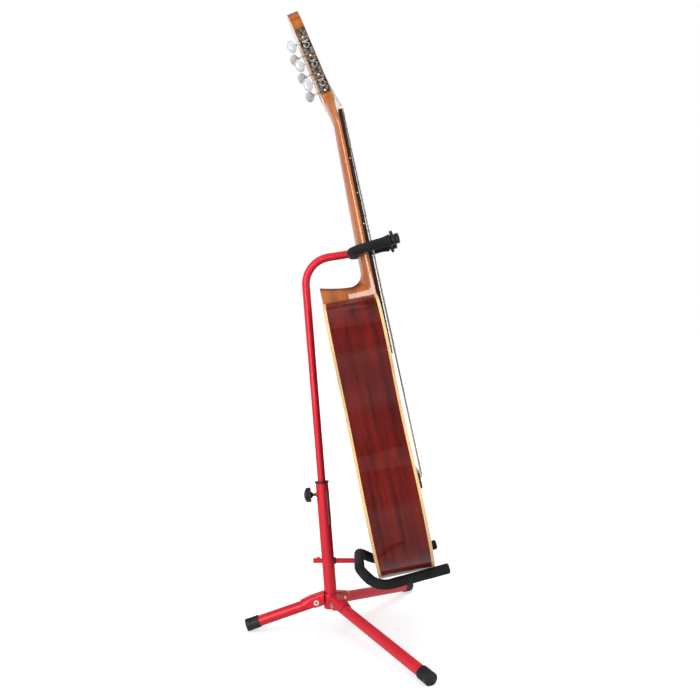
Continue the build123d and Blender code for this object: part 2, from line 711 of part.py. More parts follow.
def biarc(a, a_way, b, b_way):
    """Two tangent arcs from a to b that leave along a_way and arrive along b_way."""
    span, ways = b - a, a_way + b_way
    fold, lead = 2 * (1 - a_way.dot(b_way)), span.dot(ways)
    reach = (math.sqrt(lead * lead + fold * span.dot(span)) - lead) / fold
    first, second = a + a_way * reach, b - b_way * reach
    join = (first + second) / 2
    return [TangentArc(a, join, tangent=a_way), TangentArc(join, b, tangent=second - first)]


def string_route(number, radius):
    """A string's corners in the guitar's frame, and where and how its winding starts on the roller."""
    share = 1 - 2 * number / 5
    y_saddle, y_nut = -STRING_SADDLE_HALF * share, -STRING_NUT_HALF * share
    side_of = -1 if number < 3 else 1
    slot = number if number < 3 else 5 - number
    turn = math.radians(HEAD_TILT)
    wind = ROLLER_R + GAP + radius
    top = BOARD_T + FRET_H + STRING_LIFT + radius
    # the nut's rear edge and the roller, in the head's plane
    edge = (top * math.cos(turn), -top * math.sin(turn))
    centre = (-HEAD_T / 2, ROLLER_AT[slot])
    dx, dh = centre[0] - edge[0], centre[1] - edge[1]
    far = math.hypot(dx, dh)
    aim = math.atan2(dx, dh) + math.asin(wind / far)
    reach = math.sqrt(far * far - wind * wind)
    meet = (edge[0] + reach * math.sin(aim), edge[1] + reach * math.cos(aim))
    pitch = side_of * (2 * radius + WINDING_GAP)
    y_wind = side_of * SLOT_Y - TURNS * pitch / 2
    corners = [(TIE_X, y_saddle, SADDLE_Z - TIE_BACK), (TIE_X, y_saddle, SADDLE_Z - TIE_FRONT),
               (SADDLE_TOP + radius, y_saddle, SADDLE_Z), (top, y_nut, NUT_Z + NUT_W),
               head_point(meet[0], y_wind, meet[1])]
    start = math.atan2(meet[0] - centre[0], meet[1] - centre[1])
    return corners, (centre, wind, y_wind, pitch, start)


def winding_point(winding, turns):
    """A point of a winding after some turns: a helix round the roller."""
    centre, wind, y_wind, pitch, start = winding
    at = start - 2 * math.pi * turns
    return Vector(head_point(centre[0] + wind * math.sin(at), y_wind + pitch * turns,
                             centre[1] + wind * math.cos(at)))


def winding_gap(winding, radius):
    """The least gap of a winding to itself, measured on points half a turn or more apart."""
    points = [winding_point(winding, k / 24) for k in range(24 * TURNS + 1)]
    return min((p - q).length for k, p in enumerate(points) for q in points[k + 12:]) - 2 * radius


def string_solid(number, radius):
    """A string: tied at the bridge, over saddle and nut, then wound on its roller without a break."""
    corners, winding = string_route(number, radius)
    lead = FilletPolyline(*corners, radius=STRING_BEND)
    point, way = lead @ 1, lead % 1
    arcs = []
    for k in range(1, 4 * TURNS + 1):
        after = winding_point(winding, k / 4)
        after_way = winding_point(winding, k / 4 + 0.001) - winding_point(winding, k / 4 - 0.001)
        after_way = after_way.normalized()
        arcs += biarc(point, way, after, after_way)
        point, way = after, after_way
    print(f"string {number + 1}: winding {winding_gap(winding, radius):.2f} mm from itself")
    return along(Wire(lead.edges() + arcs), radius)


# Tuners, in the head's frame; sign is -1 on the bass side

def roller(sign, h):
    """A roller with its gear wheel outside the plate."""
    mid = -HEAD_T / 2
    near = HEAD_HALF + TUNER_T + GAP
    barrel = rod(ROLLER_R, (mid, sign * 12.9, h), (mid, sign * (near + 0.5), h))
    barrel += rod(TIP_R, (mid, sign * 7.5, h), (mid, sign * 13, h))
    barrel -= rod(0.8, (mid - 9, sign * SLOT_Y, h), (mid + 9, sign * SLOT_Y, h))
    wheel = rod(GEAR_R, (mid, sign * near, h), (mid, sign * (near + GEAR_T), h))
    for k in range(GEAR_TEETH):
        a = 2 * math.pi * (k + 0.5) / GEAR_TEETH
        x, z = mid + (GEAR_R + 0.35) * math.cos(a), h + (GEAR_R + 0.35) * math.sin(a)
        wheel -= rod(0.75, (x, sign * (near - 1), z), (x, sign * (near + GEAR_T + 1), z))
    wheel -= rod(2.3, (mid, sign * (near + GEAR_T - 1.6), h), (mid, sign * (near + GEAR_T + 1), h))
    return HEAD * (barrel + wheel)


def worm_y(sign):
    """How far out the worms lie."""
    return sign * (HEAD_HALF + TUNER_T + GAP + GEAR_T / 2)


def worm(sign, h):
    """A worm and its shaft, reaching back into the button."""
    mid, y, up = -HEAD_T / 2, worm_y(sign), h + WORM_UP
    shaft = rod(SHAFT_R, (mid + 8.6, y, up), (mid - BUTTON_AT + 1, y, up))
    return HEAD * (shaft + rod(WORM_R, (mid + 4.9, y, up), (mid - 4.9, y, up)))


def button(sign, h):
    """An oval button on a worm's shaft."""
    mid, y, up = -HEAD_T / 2 - BUTTON_AT, worm_y(sign), h + WORM_UP
    plan = Ellipse(BUTTON_X, BUTTON_H)
    oval = Pos(0, 0, -BUTTON_T / 2) * extrude(plan, BUTTON_T)
    oval = fillet(oval.edges(), 3.2)
    oval = Location((mid, y, up), (90, 0, 0)) * oval
    oval += rod(2.7, (mid + BUTTON_X + 4.5, y, up), (mid + BUTTON_X - 3, y, up))
    return HEAD * (oval - rod(SHAFT_R, (mid + 30, y, up), (mid + 1, y, up)))


SCREWS_AT = (PLATE_LOW + 5, ROLLER_AT[0] + 18, ROLLER_AT[1] + 18, PLATE_HIGH - 17)


def tuner_plate(sign):
    """A side plate with scalloped edges and two bearing posts for each worm."""
    mid = -HEAD_T / 2
    outer, inner = HEAD_HALF + TUNER_T, HEAD_HALF
    plan = Pos(mid, (PLATE_LOW + PLATE_HIGH) / 2) * RectangleRounded(HEAD_T - 0.6, PLATE_HIGH - PLATE_LOW, 4)
    for h in [at + 18 for at in ROLLER_AT]:
        for edge in (-1, 1):
            plan -= Pos(mid + edge * (HEAD_T / 2 + 1.0), h) * Circle(4.2)
    flat = Plane((0, sign * inner, 0), x_dir=(1, 0, 0), z_dir=(0, sign, 0))
    if sign > 0:
        plan = mirror(plan, Plane.XZ)
    plate = extrude(flat * plan, TUNER_T)
    y = sorted((sign * inner, sign * (outer + GAP + GEAR_T)))
    for h in ROLLER_AT:
        plate -= rod(ROLLER_R + RUN, (mid, sign * 30, h), (mid, sign * 45, h))
        up = h + WORM_UP
        for edge in (-1, 1):
            x = sorted((mid + edge * 5.2, mid + edge * 8.2))
            plate += box(x, y, (up - 2.2, up + 2.2))
        plate -= rod(SHAFT_R + RUN, (mid - 12, worm_y(sign), up), (mid + 12, worm_y(sign), up))
    for h in SCREWS_AT:
        plate -= rod(1.2, (mid, sign * 30, h), (mid, sign * 45, h))
    return HEAD * plate


def tuner_screw(sign, h):
    """A round-headed wood screw through a side plate."""
    mid, out = -HEAD_T / 2, HEAD_HALF + TUNER_T
    screw = rod(1.2, (mid, sign * (HEAD_HALF - 6), h), (mid, sign * out, h))
    cap = Pos(mid, sign * (out - 1.6), h) * Sphere(3.0)
    y = sorted((sign * out, sign * (out + 3)))
    return HEAD * (screw + (cap & box((-40, 40), y, (0, 200))))


def make_stand():
    """Every node of the stand."""
    bar = mast()
    save("post_tube", post_tube())
    save("collar_bush", collar_bush())
    save("label_strip", label_strip())
    save("base_hub", base_hub())
    save("leg_rivets", group([leg_rivet(place) for place, _ in LEGS.values()]))
    for name, (place, length) in LEGS.items():
        save(f"leg_{name}", leg_tube(place, length))
        save(f"foot_{name}", leg_foot(place, length))
    save("clamp_knob", clamp_knob())
    save("clamp_screw", clamp_screw())
    save("cradle_bar", cradle_bar())
    save("cradle_foam", cradle_foam())
    save("cradle_bush", cradle_bush())
    save("mast", bar)
    save("yoke_foam", yoke_foam(bar))
    save("yoke_caps", yoke_caps())
    save("neck_strap", neck_strap())


def make_guitar():
    """Every node of the guitar."""
    strings = [string_solid(k, r) for k, r in enumerate(WOUND_R + tuple(reversed(NYLON_R)))]
    whole = neck()
    screws = []
    for sign in (-1, 1):
        for h in SCREWS_AT:
            screws.append(tuner_screw(sign, h))
            whole -= HEAD * rod(1.2, (-HEAD_T / 2, sign * (HEAD_HALF - 6), h), (-HEAD_T / 2, sign * 60, h))
    tied, bone, rest = bridge(), nut(), saddle()
    for s in strings:
        tied, bone, rest = tied - s, bone - s, rest - s
    nodes = {
        "soundboard": soundboard(),
        "back_plate": slice_of(INSIDE, -DEPTH, -DEPTH + PLATE_T),
        "side_bass": side(-1),
        "side_treble": side(1),
        "top_binding": slice_of(RIM, -BIND_H, 0),
        "back_binding": slice_of(RIM, -DEPTH, -DEPTH + BIND_H),
        "linings": linings(),
        "neck_block": block(NECK_ROOM),
        "tail_block": block(TAIL_ROOM),
        "top_braces": top_braces(),
        "back_braces": back_braces(),
        "neck": whole,
        "fretboard": fretboard(),
        "frets": frets(),
        "nut": bone,
        "bridge": tied,
        "saddle": rest,
        "wound_strings": group(strings[:3]),
        "nylon_strings": group(strings[3:]),
        "tuner_plate_bass": tuner_plate(-1),
        "tuner_plate_treble": tuner_plate(1),
        "tuner_screws": group(screws),
    }
    number = 0
    for sign in (-1, 1):
        for h in ROLLER_AT:
            number += 1
            nodes[f"tuner_roller_{number}"] = roller(sign, h)
            nodes[f"tuner_worm_{number}"] = worm(sign, h)
            nodes[f"tuner_button_{number}"] = button(sign, h)
    for name, shape in nodes.items():
        save(name, GUITAR * shape)


make_stand()
make_guitar()
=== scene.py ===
import json
import math

import bmesh
import bpy
import numpy as np
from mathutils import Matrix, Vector


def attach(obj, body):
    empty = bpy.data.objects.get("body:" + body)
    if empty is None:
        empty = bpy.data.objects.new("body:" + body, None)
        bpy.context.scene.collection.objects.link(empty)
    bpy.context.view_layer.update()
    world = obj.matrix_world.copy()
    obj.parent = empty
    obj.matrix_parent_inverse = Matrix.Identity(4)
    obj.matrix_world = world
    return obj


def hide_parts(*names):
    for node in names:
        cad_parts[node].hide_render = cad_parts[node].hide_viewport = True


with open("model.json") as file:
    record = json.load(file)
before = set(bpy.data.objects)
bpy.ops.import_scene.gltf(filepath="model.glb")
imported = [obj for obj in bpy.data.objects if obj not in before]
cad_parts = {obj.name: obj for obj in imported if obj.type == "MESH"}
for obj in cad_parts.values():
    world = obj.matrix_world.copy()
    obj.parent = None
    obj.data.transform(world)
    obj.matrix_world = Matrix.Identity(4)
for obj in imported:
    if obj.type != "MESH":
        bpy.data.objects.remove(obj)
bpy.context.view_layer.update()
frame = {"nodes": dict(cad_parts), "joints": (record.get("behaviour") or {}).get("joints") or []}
nodes = frame["nodes"]
joints = {j["name"]: j for j in frame["joints"]}

# Places and sizes, in metres; the joints give the directions
LEAN = np.array(joints["mast_slide"]["axis"])  # up along the post
ARM = np.array(joints["strap_swing"]["axis"])  # out along the yoke's arms
HEAD_FRONT = np.array(joints["key_1_turn"]["axis"])  # the way the head faces
HEAD_TILT = math.radians(11.0)
GUITAR_TILT = math.atan2(HEAD_FRONT[2], HEAD_FRONT[0]) - HEAD_TILT
TAIL = np.array([0.152797, 0.0, 0.119017])  # the soundboard's lowest point
ACROSS = np.array([0.0, 1.0, 0.0])

# Mast: from inside the post to its corner and the yoke
MAST_LINE = ((-0.035303, 0, 0.16963), (-0.074374, 0, 0.65526), (0.01043, 0, 0.66854))
MAST_BEND = 0.048
MAST_R = 0.007

# Yoke and strap
YOKE_HALF = 0.048
YOKE_BAR_LONG = 0.082
YOKE_BAR_R = 0.004
YOKE_CORNER = 0.030
YOKE_FOAM_LONG = 0.0703
YOKE_FOAM_R = 0.0085
STRAP_AT = 0.07255  # where the record has the strap
STRAP_MID = 0.0736
STRAP_R = 0.0094
STRAP_HOLE = 0.0043
STRAP_HALF = 0.0027
STRAP_EDGE = 0.0012  # the rings' rounding
BAND_END = 0.0415
BAND_HALF = 0.0018
BAND_TALL = (0.0045, 0.0027)  # half its height, and what the ends add
YOKE_UP = np.cross(ARM, ACROSS)
YOKE_AT = np.array(joints["strap_swing"]["pos_m"]) - STRAP_AT * ARM - YOKE_HALF * ACROSS

# Hub: a collar on the post and an arched channel over each leg
HUB_AT = (-0.026, 0.0, 0.054)
HUB_R = 0.0136
POST_R = 0.011
PIVOT_R = 0.026
PIVOT_Z = 0.0525
REACH = {"rear": 0.146, "left": 0.311, "right": 0.311}
FOOT_R = 0.011
FOOT_FLAT = 0.0007
CHANNEL_WIDE = (0.0106, 0.0099)  # its half width inside, at the rivet and at the open end
CHANNEL_HIGH = (0.0114, 0.0099)
CHANNEL_T = 0.0014
CHANNEL_LONG = 0.0265
CHANNEL_BACK = 0.0145  # how far it reaches behind the rivet
CHANNEL_EASE = 0.0105  # where it starts to narrow and to turn round
CHANNEL_POWER = (0.40, 0.95)
FLANGE = (0.002, 0.008)  # where the flanges start to rise, and their depth until then

# Cradle: the foam's centre line on the near side, from its tip to the back
CRADLE_TIP = (0.173819, -0.096, 0.134122)
CRADLE_LOW = (0.0556, -0.096, 0.10167)
CRADLE_BACK = (0.0235, -0.0745, 0.1244)
CRADLE_BEND = 0.043
CRADLE_FOAM_R = 0.00875
CRADLE_SHORT = 0.0045  # how much shorter the far arm's foam is

# Foam: its rounded ends, and the hollow that the neck leaves in the yoke's
SLEEVE_ROUND = 0.0035
SLEEVE_FLARE = 0.009  # how long an end's flare is
YOKE_FLARE = 0.0021
DENT_HALF = 0.024
DENT_DEEP = 0.0043
DENT_RIM = 0.0009  # above the foam's radius

# Guitar: heights from the soundboard's foot along the neck, depths from the soundboard's face
NUT_Z = 0.8165
NUT_BACK = 0.8215
SCALE = 0.655
SADDLE_Z = NUT_Z - SCALE
SADDLE_TOP = 0.013
HOLE_Z = 0.335
BODY_Z = 0.489
NECK_HALF = (0.026, 0.031)  # at the nut and at the body
NECK_DEEP = (0.0134, 0.0194)  # at the throat and at the heel
NECK_WALL = 0.003
DEPTH = 0.0956
HEEL_R = 0.022
HEEL_RISE = 0.0008
HEEL_OVER = 0.003
HEEL_HALF = (0.021, 0.0175)  # at its waist and at the back
HEEL_WAIST = 0.048
HEEL_HIGH = 0.0285
HEEL_TOP = BODY_Z + HEEL_RISE + NECK_DEEP[1] + HEEL_R
THROAT_Z = NUT_Z - 0.024
THROAT = (0.03705, 0.0186, 0.0160)  # half width, depth and wall where it ends in the head
THROAT_END = 0.0265
THROAT_INTO = 0.0003  # how far its front lies in the head
HEEL_SPREAD = 0.07  # the height over which the heel narrows, half of it above the heel's top
BOARD_T = 0.0065
STRING_TOP = 0.0085  # the strings' underside at the nut
STRING_NUT_HALF = 0.0215
STRING_SADDLE_HALF = 0.029
STRINGS = (0.00055, 0.00047, 0.0004, 0.00037, 0.00043, 0.00051)
STRING_GAP = 0.0003  # between a roller and its string
STRING_BEND = 0.0016
TIE_X = 0.0064
TIE_TOP = 0.0092
DOTS = (3, 5, 7)  # the frets with a dot
RING_FOOT = -0.0003  # the rosette's depth
RING_HIGH = (0.0001, 0.00013)  # the bands' height and the lines'
RING_LINES = ((0.0465, 0.0473), (0.0494, 0.0502), (0.0578, 0.0586), (0.0607, 0.0615))

# Head: the rollers' heights over the nut
HEAD_LOW = 0.0122  # where the head is cut from the throat
ROLLERS = (0.0435, 0.0795, 0.1155)
ROLLER_R = 0.0044
HEAD_MID = -0.00965
HEAD_HALF = 0.037
PLATE_FACE = HEAD_HALF + 0.0012
GEAR_FACE = PLATE_FACE + 0.0043
WORM_Y = PLATE_FACE + 0.0023
WORM_UP = 0.0072
WORM_LONG = 0.0096
WORM_R = 0.00155
THREAD = (0.00033, 0.0019)  # its depth and pitch
BUTTON = (0.00775, 0.0040, 0.0115)  # half its width, thickness and height
BUTTON_AT = 0.025
FAR_TURN = 0.85  # the far buttons' turn about their shafts
SLOT_Y = 0.021
SCREW_SUNK = 0.0010
SCROLL_R = 0.0031
SCROLL_TURNS = 1.35
SCROLL_WIRE = 0.00028
SCROLLS = ((0.0043, 0.0136, 1, -1.6), (-0.0043, 0.0136, -1, 4.7), (0.0043, 0.0226, -1, 1.6),
           (-0.0043, 0.0226, 1, 1.6), (0.0056, -0.0074, 1, 0.4), (-0.0056, -0.0074, -1, 2.7))  # x, z, hand, start

# Light: the room's, and the floor's own where it is seen, near the object and far from it
WORLD_LIGHT = 0.42
FLOOR_GLOW = (0.52, 0.80)

# Camera: the photograph's frame is square and its centre of view lies a little above the middle
CAMERA_AT = (0.0072, -1.6945, 0.5156)
CAMERA_LENS = 49.14
CAMERA_SHIFT = -0.0144


# Mesh tools

def unit(v):
    """Vectors of length one."""
    return v / np.linalg.norm(v, axis=-1, keepdims=True)


def smooth(t):
    """From 0 to 1 with level ends: t^2 (3 - 2 t)."""
    t = np.clip(t, 0, 1)
    return t * t * (3 - 2 * t)


def power(value, share):
    """A signed power, for rounded boxes: sign(v) |v|^share."""
    return np.sign(value) * np.abs(value) ** share


def lengths(path):
    """The distance of each point along a path."""
    return np.concatenate([[0], np.cumsum(np.linalg.norm(np.diff(path, axis=0), axis=1))])


def surface(points):
    """A grid of points, rows by columns, as points and quads; the last column joins the first."""
    rows, cols = points.shape[:2]
    r = np.arange(rows - 1)[:, None] * cols
    c = np.arange(cols)[None, :]
    after = (c + 1) % cols
    quads = np.stack([r + c, r + after, r + cols + after, r + cols + c], -1)
    return points.reshape(-1, 3), quads.reshape(-1, 4)


def closed(rings, first, last):
    """A surface through rings of points that closes to one point at each end."""
    caps = [np.broadcast_to(point, (1, *rings.shape[1:])) for point in (first, last)]
    return surface(np.concatenate([caps[0], rings, caps[1]]))


def joined(parts):
    """Several surfaces as one list of points and one of quads."""
    counts = np.cumsum([0] + [len(p) for p, _ in parts[:-1]])
    points = np.concatenate([p for p, _ in parts])
    return points, np.concatenate([f + n for (_, f), n in zip(parts, counts)])


def linked(name, data):
    """A new object in the scene."""
    made = bpy.data.objects.new(name, data)
    bpy.context.scene.collection.objects.link(made)
    return made


def piece(name, parts, material, body, replaces=()):
    """A new piece from closed surfaces: doubles merged, faces turned outwards, smooth, riding on a body."""
    points, faces = joined(parts)
    mesh = bpy.data.meshes.new(name)
    mesh.from_pydata(points.tolist(), [], faces.tolist())
    work = bmesh.new()
    work.from_mesh(mesh)
    bmesh.ops.remove_doubles(work, verts=work.verts, dist=1e-6)
    bmesh.ops.dissolve_degenerate(work, edges=work.edges, dist=1e-7)
    bmesh.ops.recalc_face_normals(work, faces=work.faces)
    work.to_mesh(mesh)
    work.free()
    mesh.polygons.foreach_set("use_smooth", np.ones(len(mesh.polygons), bool))
    mesh.materials.append(material)
    made = linked(name, mesh)
    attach(made, body)
    for node in replaces:
        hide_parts(node)
    return made


def rounded(corners, radius, step):
    """A polyline with a tangent arc at each inner corner, as points about step apart.
    The arc at a corner has its centre on the bisector, radius / cos(turn / 2) from the corner."""
    corners = np.array(corners, float)
    runs = [corners[:1]]
    for before, at, after in zip(corners, corners[1:], corners[2:]):
        come, go = unit(at - before), unit(after - at)
        turn = np.arccos(np.clip(come @ go, -1, 1))
        inward = unit(go - come * (come @ go))
        start = at - come * radius * np.tan(turn / 2)
        angle = np.linspace(0, turn, 24)[:, None]
        runs.append(start + radius * (inward * (1 - np.cos(angle)) + come * np.sin(angle)))
    path = np.concatenate(runs + [corners[-1:]])
    along = lengths(path)
    even = np.linspace(0, along[-1], int(along[-1] / step) + 1)
    return np.stack([np.interp(even, along, path[:, k]) for k in range(3)], -1)


def curve(points, each):
    """A smooth path through points: each span is the cubic whose end slopes are half the neighbours' chords."""
    p = np.array(points, float)
    p = np.concatenate([2 * p[:1] - p[1:2], p, 2 * p[-1:] - p[-2:-1]])
    t = np.linspace(0, 1, each, endpoint=False)[None, :, None]
    a, b, c, d = (p[k:len(p) - 3 + k, None] for k in range(4))
    spans = b + 0.5 * ((c - a) * t + (2 * a - 5 * b + 4 * c - d) * t ** 2 + (3 * b - a - 3 * c + d) * t ** 3)
    return np.concatenate([spans.reshape(-1, 3), p[-2:-1]])


def tube(path, radius, side, sides):
    """A round bar along a path: path + radius (cos a n + sin a b), with n square to the path and to side.
    The first and last stations close to a point."""
    way = unit(np.gradient(path, axis=0))
    n = unit(np.cross(side, way))
    b = np.cross(way, n)
    a = np.linspace(0, 2 * np.pi, sides, endpoint=False)[None, :, None]
    ring = np.cos(a) * n[:, None] + np.sin(a) * b[:, None]
    radius = np.broadcast_to(radius, len(path))[:, None, None]
    return closed(path[:, None] + radius * ring, path[0], path[-1])


def lathe(start, way, profile, sides):
    """A turned shape: profile holds (distance along the axis, radius) pairs."""
    way = unit(np.array(way, float))
    n = unit(np.cross(way, [0.3, 0.5, 0.8]))
    b = np.cross(way, n)
    profile = np.array(profile)
    a = np.linspace(0, 2 * np.pi, sides, endpoint=False)[None, :, None]
    ring = np.cos(a) * n + np.sin(a) * b
    points = np.array(start) + profile[:, :1, None] * way + profile[:, 1:, None] * ring
    return surface(points)


# Frames of the guitar, its head and the yoke

def guitar(points):
    """Points of the upright guitar (x to the front, z up the neck) in the row frame."""
    x, y, z = np.moveaxis(np.asarray(points, float), -1, 0)
    c, s = math.cos(GUITAR_TILT), math.sin(GUITAR_TILT)
    return TAIL + np.stack([x * c - z * s, y, x * s + z * c], -1)


def head(points):
    """Points of the head (x to its front, z up from the nut) in the row frame."""
    x, y, z = np.moveaxis(np.asarray(points, float), -1, 0)
    c, s = math.cos(HEAD_TILT), math.sin(HEAD_TILT)
    return guitar(np.stack([x * c - z * s, y, NUT_BACK + x * s + z * c], -1))


def toward(place, axis):
    """The way that an axis of the guitar or of its head points in the row frame."""
    return place(axis) - place([0, 0, 0])


def yoke(points):
    """Points of the yoke's plane (out along the arms, across, up) in the row frame."""
    u, y, w = np.moveaxis(np.asarray(points, float), -1, 0)
    return YOKE_AT + u[..., None] * ARM + y[..., None] * ACROSS + w[..., None] * YOKE_UP


# Materials

class Finish:
    """A material and its shader, with short calls for the nodes that a finish needs."""

    def __init__(self, name, **sockets):
        self.material = bpy.data.materials.new(name)
        self.material.use_nodes = True
        self.tree = self.material.node_tree
        self.shader = self.tree.nodes["Principled BSDF"]
        self.put(self.shader, sockets)

    def put(self, node, sockets):
        """Sets a node's inputs: a socket is linked, anything else is a constant."""
        for key, value in sockets.items():
            socket = node.inputs[key.replace("_", " ") if isinstance(key, str) else key]
            if isinstance(value, bpy.types.NodeSocket):
                self.tree.links.new(value, socket)
            else:
                socket.default_value = value

    def add(self, kind, sockets, **settings):
        """A new node with its settings and inputs."""
        node = self.tree.nodes.new("ShaderNode" + kind)
        for key, value in settings.items():
            setattr(node, key, value)
        self.put(node, sockets)
        return node

    def place(self, scale=(1, 1, 1), turn=0.0):
        """Object coordinates, turned about Y and scaled."""
        coords = self.add("TexCoord", {})
        turned = self.add("Mapping", {"Vector": coords.outputs["Object"], "Rotation": (0, turn, 0)})
        return self.add("Mapping", {"Vector": turned.outputs[0], "Scale": scale}).outputs[0]

    def noise(self, where, scale, detail=4.0, rough=0.5, twist=0.0):
        """Noise from 0 to 1."""
        made = self.add("TexNoise", {"Vector": where, "Scale": scale, "Detail": detail,
                                     "Roughness": rough, "Distortion": twist})
        return made.outputs["Fac"]

    def ramp(self, value, stops):
        """A colour ramp: stops are (place, colour) pairs."""
        node = self.add("ValToRGB", {"Fac": value})
        while len(node.color_ramp.elements) < len(stops):
            node.color_ramp.elements.new(0.5)
        for element, (at, colour) in zip(node.color_ramp.elements, stops):
            element.position = at
            element.color = (*colour, 1)
        return node.outputs["Color"]

    def tint(self, a, b):
        """Two colours multiplied."""
        return self.add("Mix", {0: 1.0, 6: a, 7: b}, data_type="RGBA", blend_type="MULTIPLY").outputs[2]

    def span(self, value, low, high):
        """A value from 0 to 1 spread from low to high."""
        return self.add("MapRange", {"Value": value, "To Min": low, "To Max": high}).outputs[0]

    def calc(self, way, a, b):
        """Arithmetic on two values."""
        return self.add("Math", {0: a, 1: b}, operation=way).outputs[0]

    def relief(self, height, depth, strength):
        """Bump with a real depth, in metres."""
        node = self.add("Bump", {"Height": height, "Distance": depth, "Strength": strength})
        self.put(self.shader, {"Normal": node.outputs[0]})

    def colour(self, value, **more):
        """Sets the base colour and other inputs."""
        self.put(self.shader, {"Base Color": value, **more})
        return self.material


def red_coat():
    """Gloss powder coat: a red that shifts a little, with a fine orange-peel skin."""
    f = Finish("red_coat", Metallic=0.16, Roughness=0.45, Specular_IOR_Level=0.1,
               Specular_Tint=(1.0, 0.3, 0.2, 1), Coat_Weight=0.15, Coat_Roughness=0.03)
    where = f.place()
    tone = f.ramp(f.noise(where, 9, 3), [(0.3, (0.56, 0.022, 0.037)), (0.7, (0.62, 0.027, 0.043))])
    f.relief(f.noise(where, 300, 2), 0.00001, 0.08)
    return f.colour(tone)


def foam():
    """Closed-cell foam: charcoal, with fine cells and a soft sheen."""
    f = Finish("foam", Roughness=0.8, Specular_IOR_Level=0.1, Sheen_Weight=0.05, Sheen_Roughness=0.5)
    where = f.place()
    cells = f.noise(where, 1800, 3, 0.6)
    tone = f.ramp(f.calc("MULTIPLY", cells, f.noise(where, 60, 3)),
                  [(0.1, (0.008, 0.008, 0.009)), (0.45, (0.019, 0.019, 0.020))])
    f.relief(cells, 0.00025, 0.7)
    return f.colour(tone)


def rubber():
    """Moulded rubber: near black, satin, with faint scuffs."""
    f = Finish("rubber", Roughness=0.5, Specular_IOR_Level=0.2)
    where = f.place()
    scuff = f.noise(where, 130, 5, 0.65)
    f.relief(f.noise(where, 1400, 2), 0.00005, 0.5)
    tone = f.ramp(scuff, [(0.35, (0.011, 0.011, 0.012)), (0.75, (0.024, 0.024, 0.025))])
    return f.colour(tone, Roughness=f.span(scuff, 0.42, 0.66))


def moulded_plastic():
    """Black plastic with a fine spark grain."""
    f = Finish("moulded_plastic", Roughness=0.42, Specular_IOR_Level=0.15)
    where = f.place()
    f.relief(f.noise(where, 2600, 2), 0.00005, 0.6)
    tone = f.ramp(f.noise(where, 80, 3), [(0.3, (0.012, 0.012, 0.013)), (0.7, (0.022, 0.022, 0.024))])
    return f.colour(tone)


def label_film():
    """Bare label film: a plain grey-brown."""
    f = Finish("label_film", Roughness=0.38)
    where = f.place()
    tone = f.ramp(f.noise(where, 40, 2), [(0.3, (0.175, 0.125, 0.110)), (0.7, (0.220, 0.160, 0.140))])
    f.relief(f.noise(where, 500, 2), 0.00004, 0.4)
    return f.colour(tone)


def metal(name, dark, light, rough, scale=300, share=1.0):
    """Plated metal: the tone and the gloss shift with fine wear."""
    f = Finish(name, Metallic=share)
    where = f.place()
    wear = f.noise(where, scale, 5, 0.6)
    tone = f.ramp(wear, [(0.3, dark), (0.7, light)])
    f.relief(f.noise(where, 2500, 2), 0.00003, 0.4)
    return f.colour(tone, Roughness=f.span(wear, rough * 0.7, rough * 1.4))


def engraved_plate():
    """Plated brass, aged: brown in the hollows of its engraving, pale on the high lines."""
    f = Finish("engraved_plate", Metallic=0.6, Specular_IOR_Level=0.15)
    where = f.place((1, 1, 1), GUITAR_TILT + HEAD_TILT)
    leaves = f.add("TexVoronoi", {"Vector": where, "Scale": 210}, feature="SMOOTH_F1").outputs["Distance"]
    cut = f.calc("MULTIPLY", leaves, f.noise(where, 520, 3, 0.5, 1.0))
    tone = f.ramp(cut, [(0.06, (0.018, 0.012, 0.007)), (0.24, (0.060, 0.040, 0.026)),
                        (0.50, (0.22, 0.175, 0.13))])
    f.relief(cut, 0.0006, 0.7)
    return f.colour(tone, Roughness=f.span(cut, 0.5, 0.3))


def wood(name, stops, streak, pores, rough=0.04, coat=0.25, index=1.5, ends=()):
    """Lacquered wood: long streaks along the grain, fine pores, and a clear coat with its roughness and index.
    streak and pores are (across, along) scales per metre; the grain runs along the guitar.
    Faces that look along ends, the grain's own way, are painted darker and get less coat: partly dark end grain,
    partly painted shade on the faces that look up the head."""
    f = Finish(name, Roughness=0.42, Specular_IOR_Level=0.05, Coat_Weight=coat, Coat_Roughness=rough,
               Coat_IOR=index)
    broad = f.noise(f.place((streak[0], streak[0] * 0.25, streak[1]), GUITAR_TILT), 1.0, 6, 0.62, 0.15)
    fine = f.noise(f.place((pores[0], pores[0], pores[1]), GUITAR_TILT), 1.0, 3, 0.6)
    tone = f.ramp(broad, stops)
    shade = f.ramp(fine, [(0.35, (0.72, 0.70, 0.68)), (0.6, (1, 1, 1))])
    f.relief(fine, 0.00002, 0.15)
    tone = f.tint(tone, shade)
    if len(ends):
        # Painted shade: faces that look up the head are darkened, partly for their end grain and partly as shade,
        # and lose coat
        normal = f.add("TexCoord", {}).outputs["Normal"]
        end_grain_and_shade_mask = f.add("VectorMath", {0: normal, 1: ends}, operation="DOT_PRODUCT").outputs["Value"]
        dark = f.ramp(end_grain_and_shade_mask, [(0.45, (1, 1, 1)), (0.9, (0.30, 0.24, 0.26))])
        tone = f.tint(tone, dark)
        return f.colour(tone, Coat_Weight=f.span(end_grain_and_shade_mask, coat, 0.0))
    return f.colour(tone)


def red_brown_wood():
    """The sides and back: dark red lacquer over streaked wood."""
    return wood("red_brown_wood", [(0.28, (0.040, 0.0040, 0.0038)), (0.42, (0.092, 0.0065, 0.0055)),
                                   (0.55, (0.160, 0.0100, 0.0070)), (0.75, (0.250, 0.0170, 0.0085))],
                (48, 0.45), (900, 9))


def neck_wood():
    """The neck: amber lacquer; faces that look up the head are darkened, partly as end grain and partly as painted
    shade.
    """
    return wood("amber_wood", [(0.3, (0.36, 0.086, 0.018)), (0.5, (0.51, 0.143, 0.029)),
                               (0.7, (0.61, 0.205, 0.047))], (110, 4), (1300, 26), 0.03, 1.0, 1.52,
                tuple(toward(head, [0, 0, 1])))


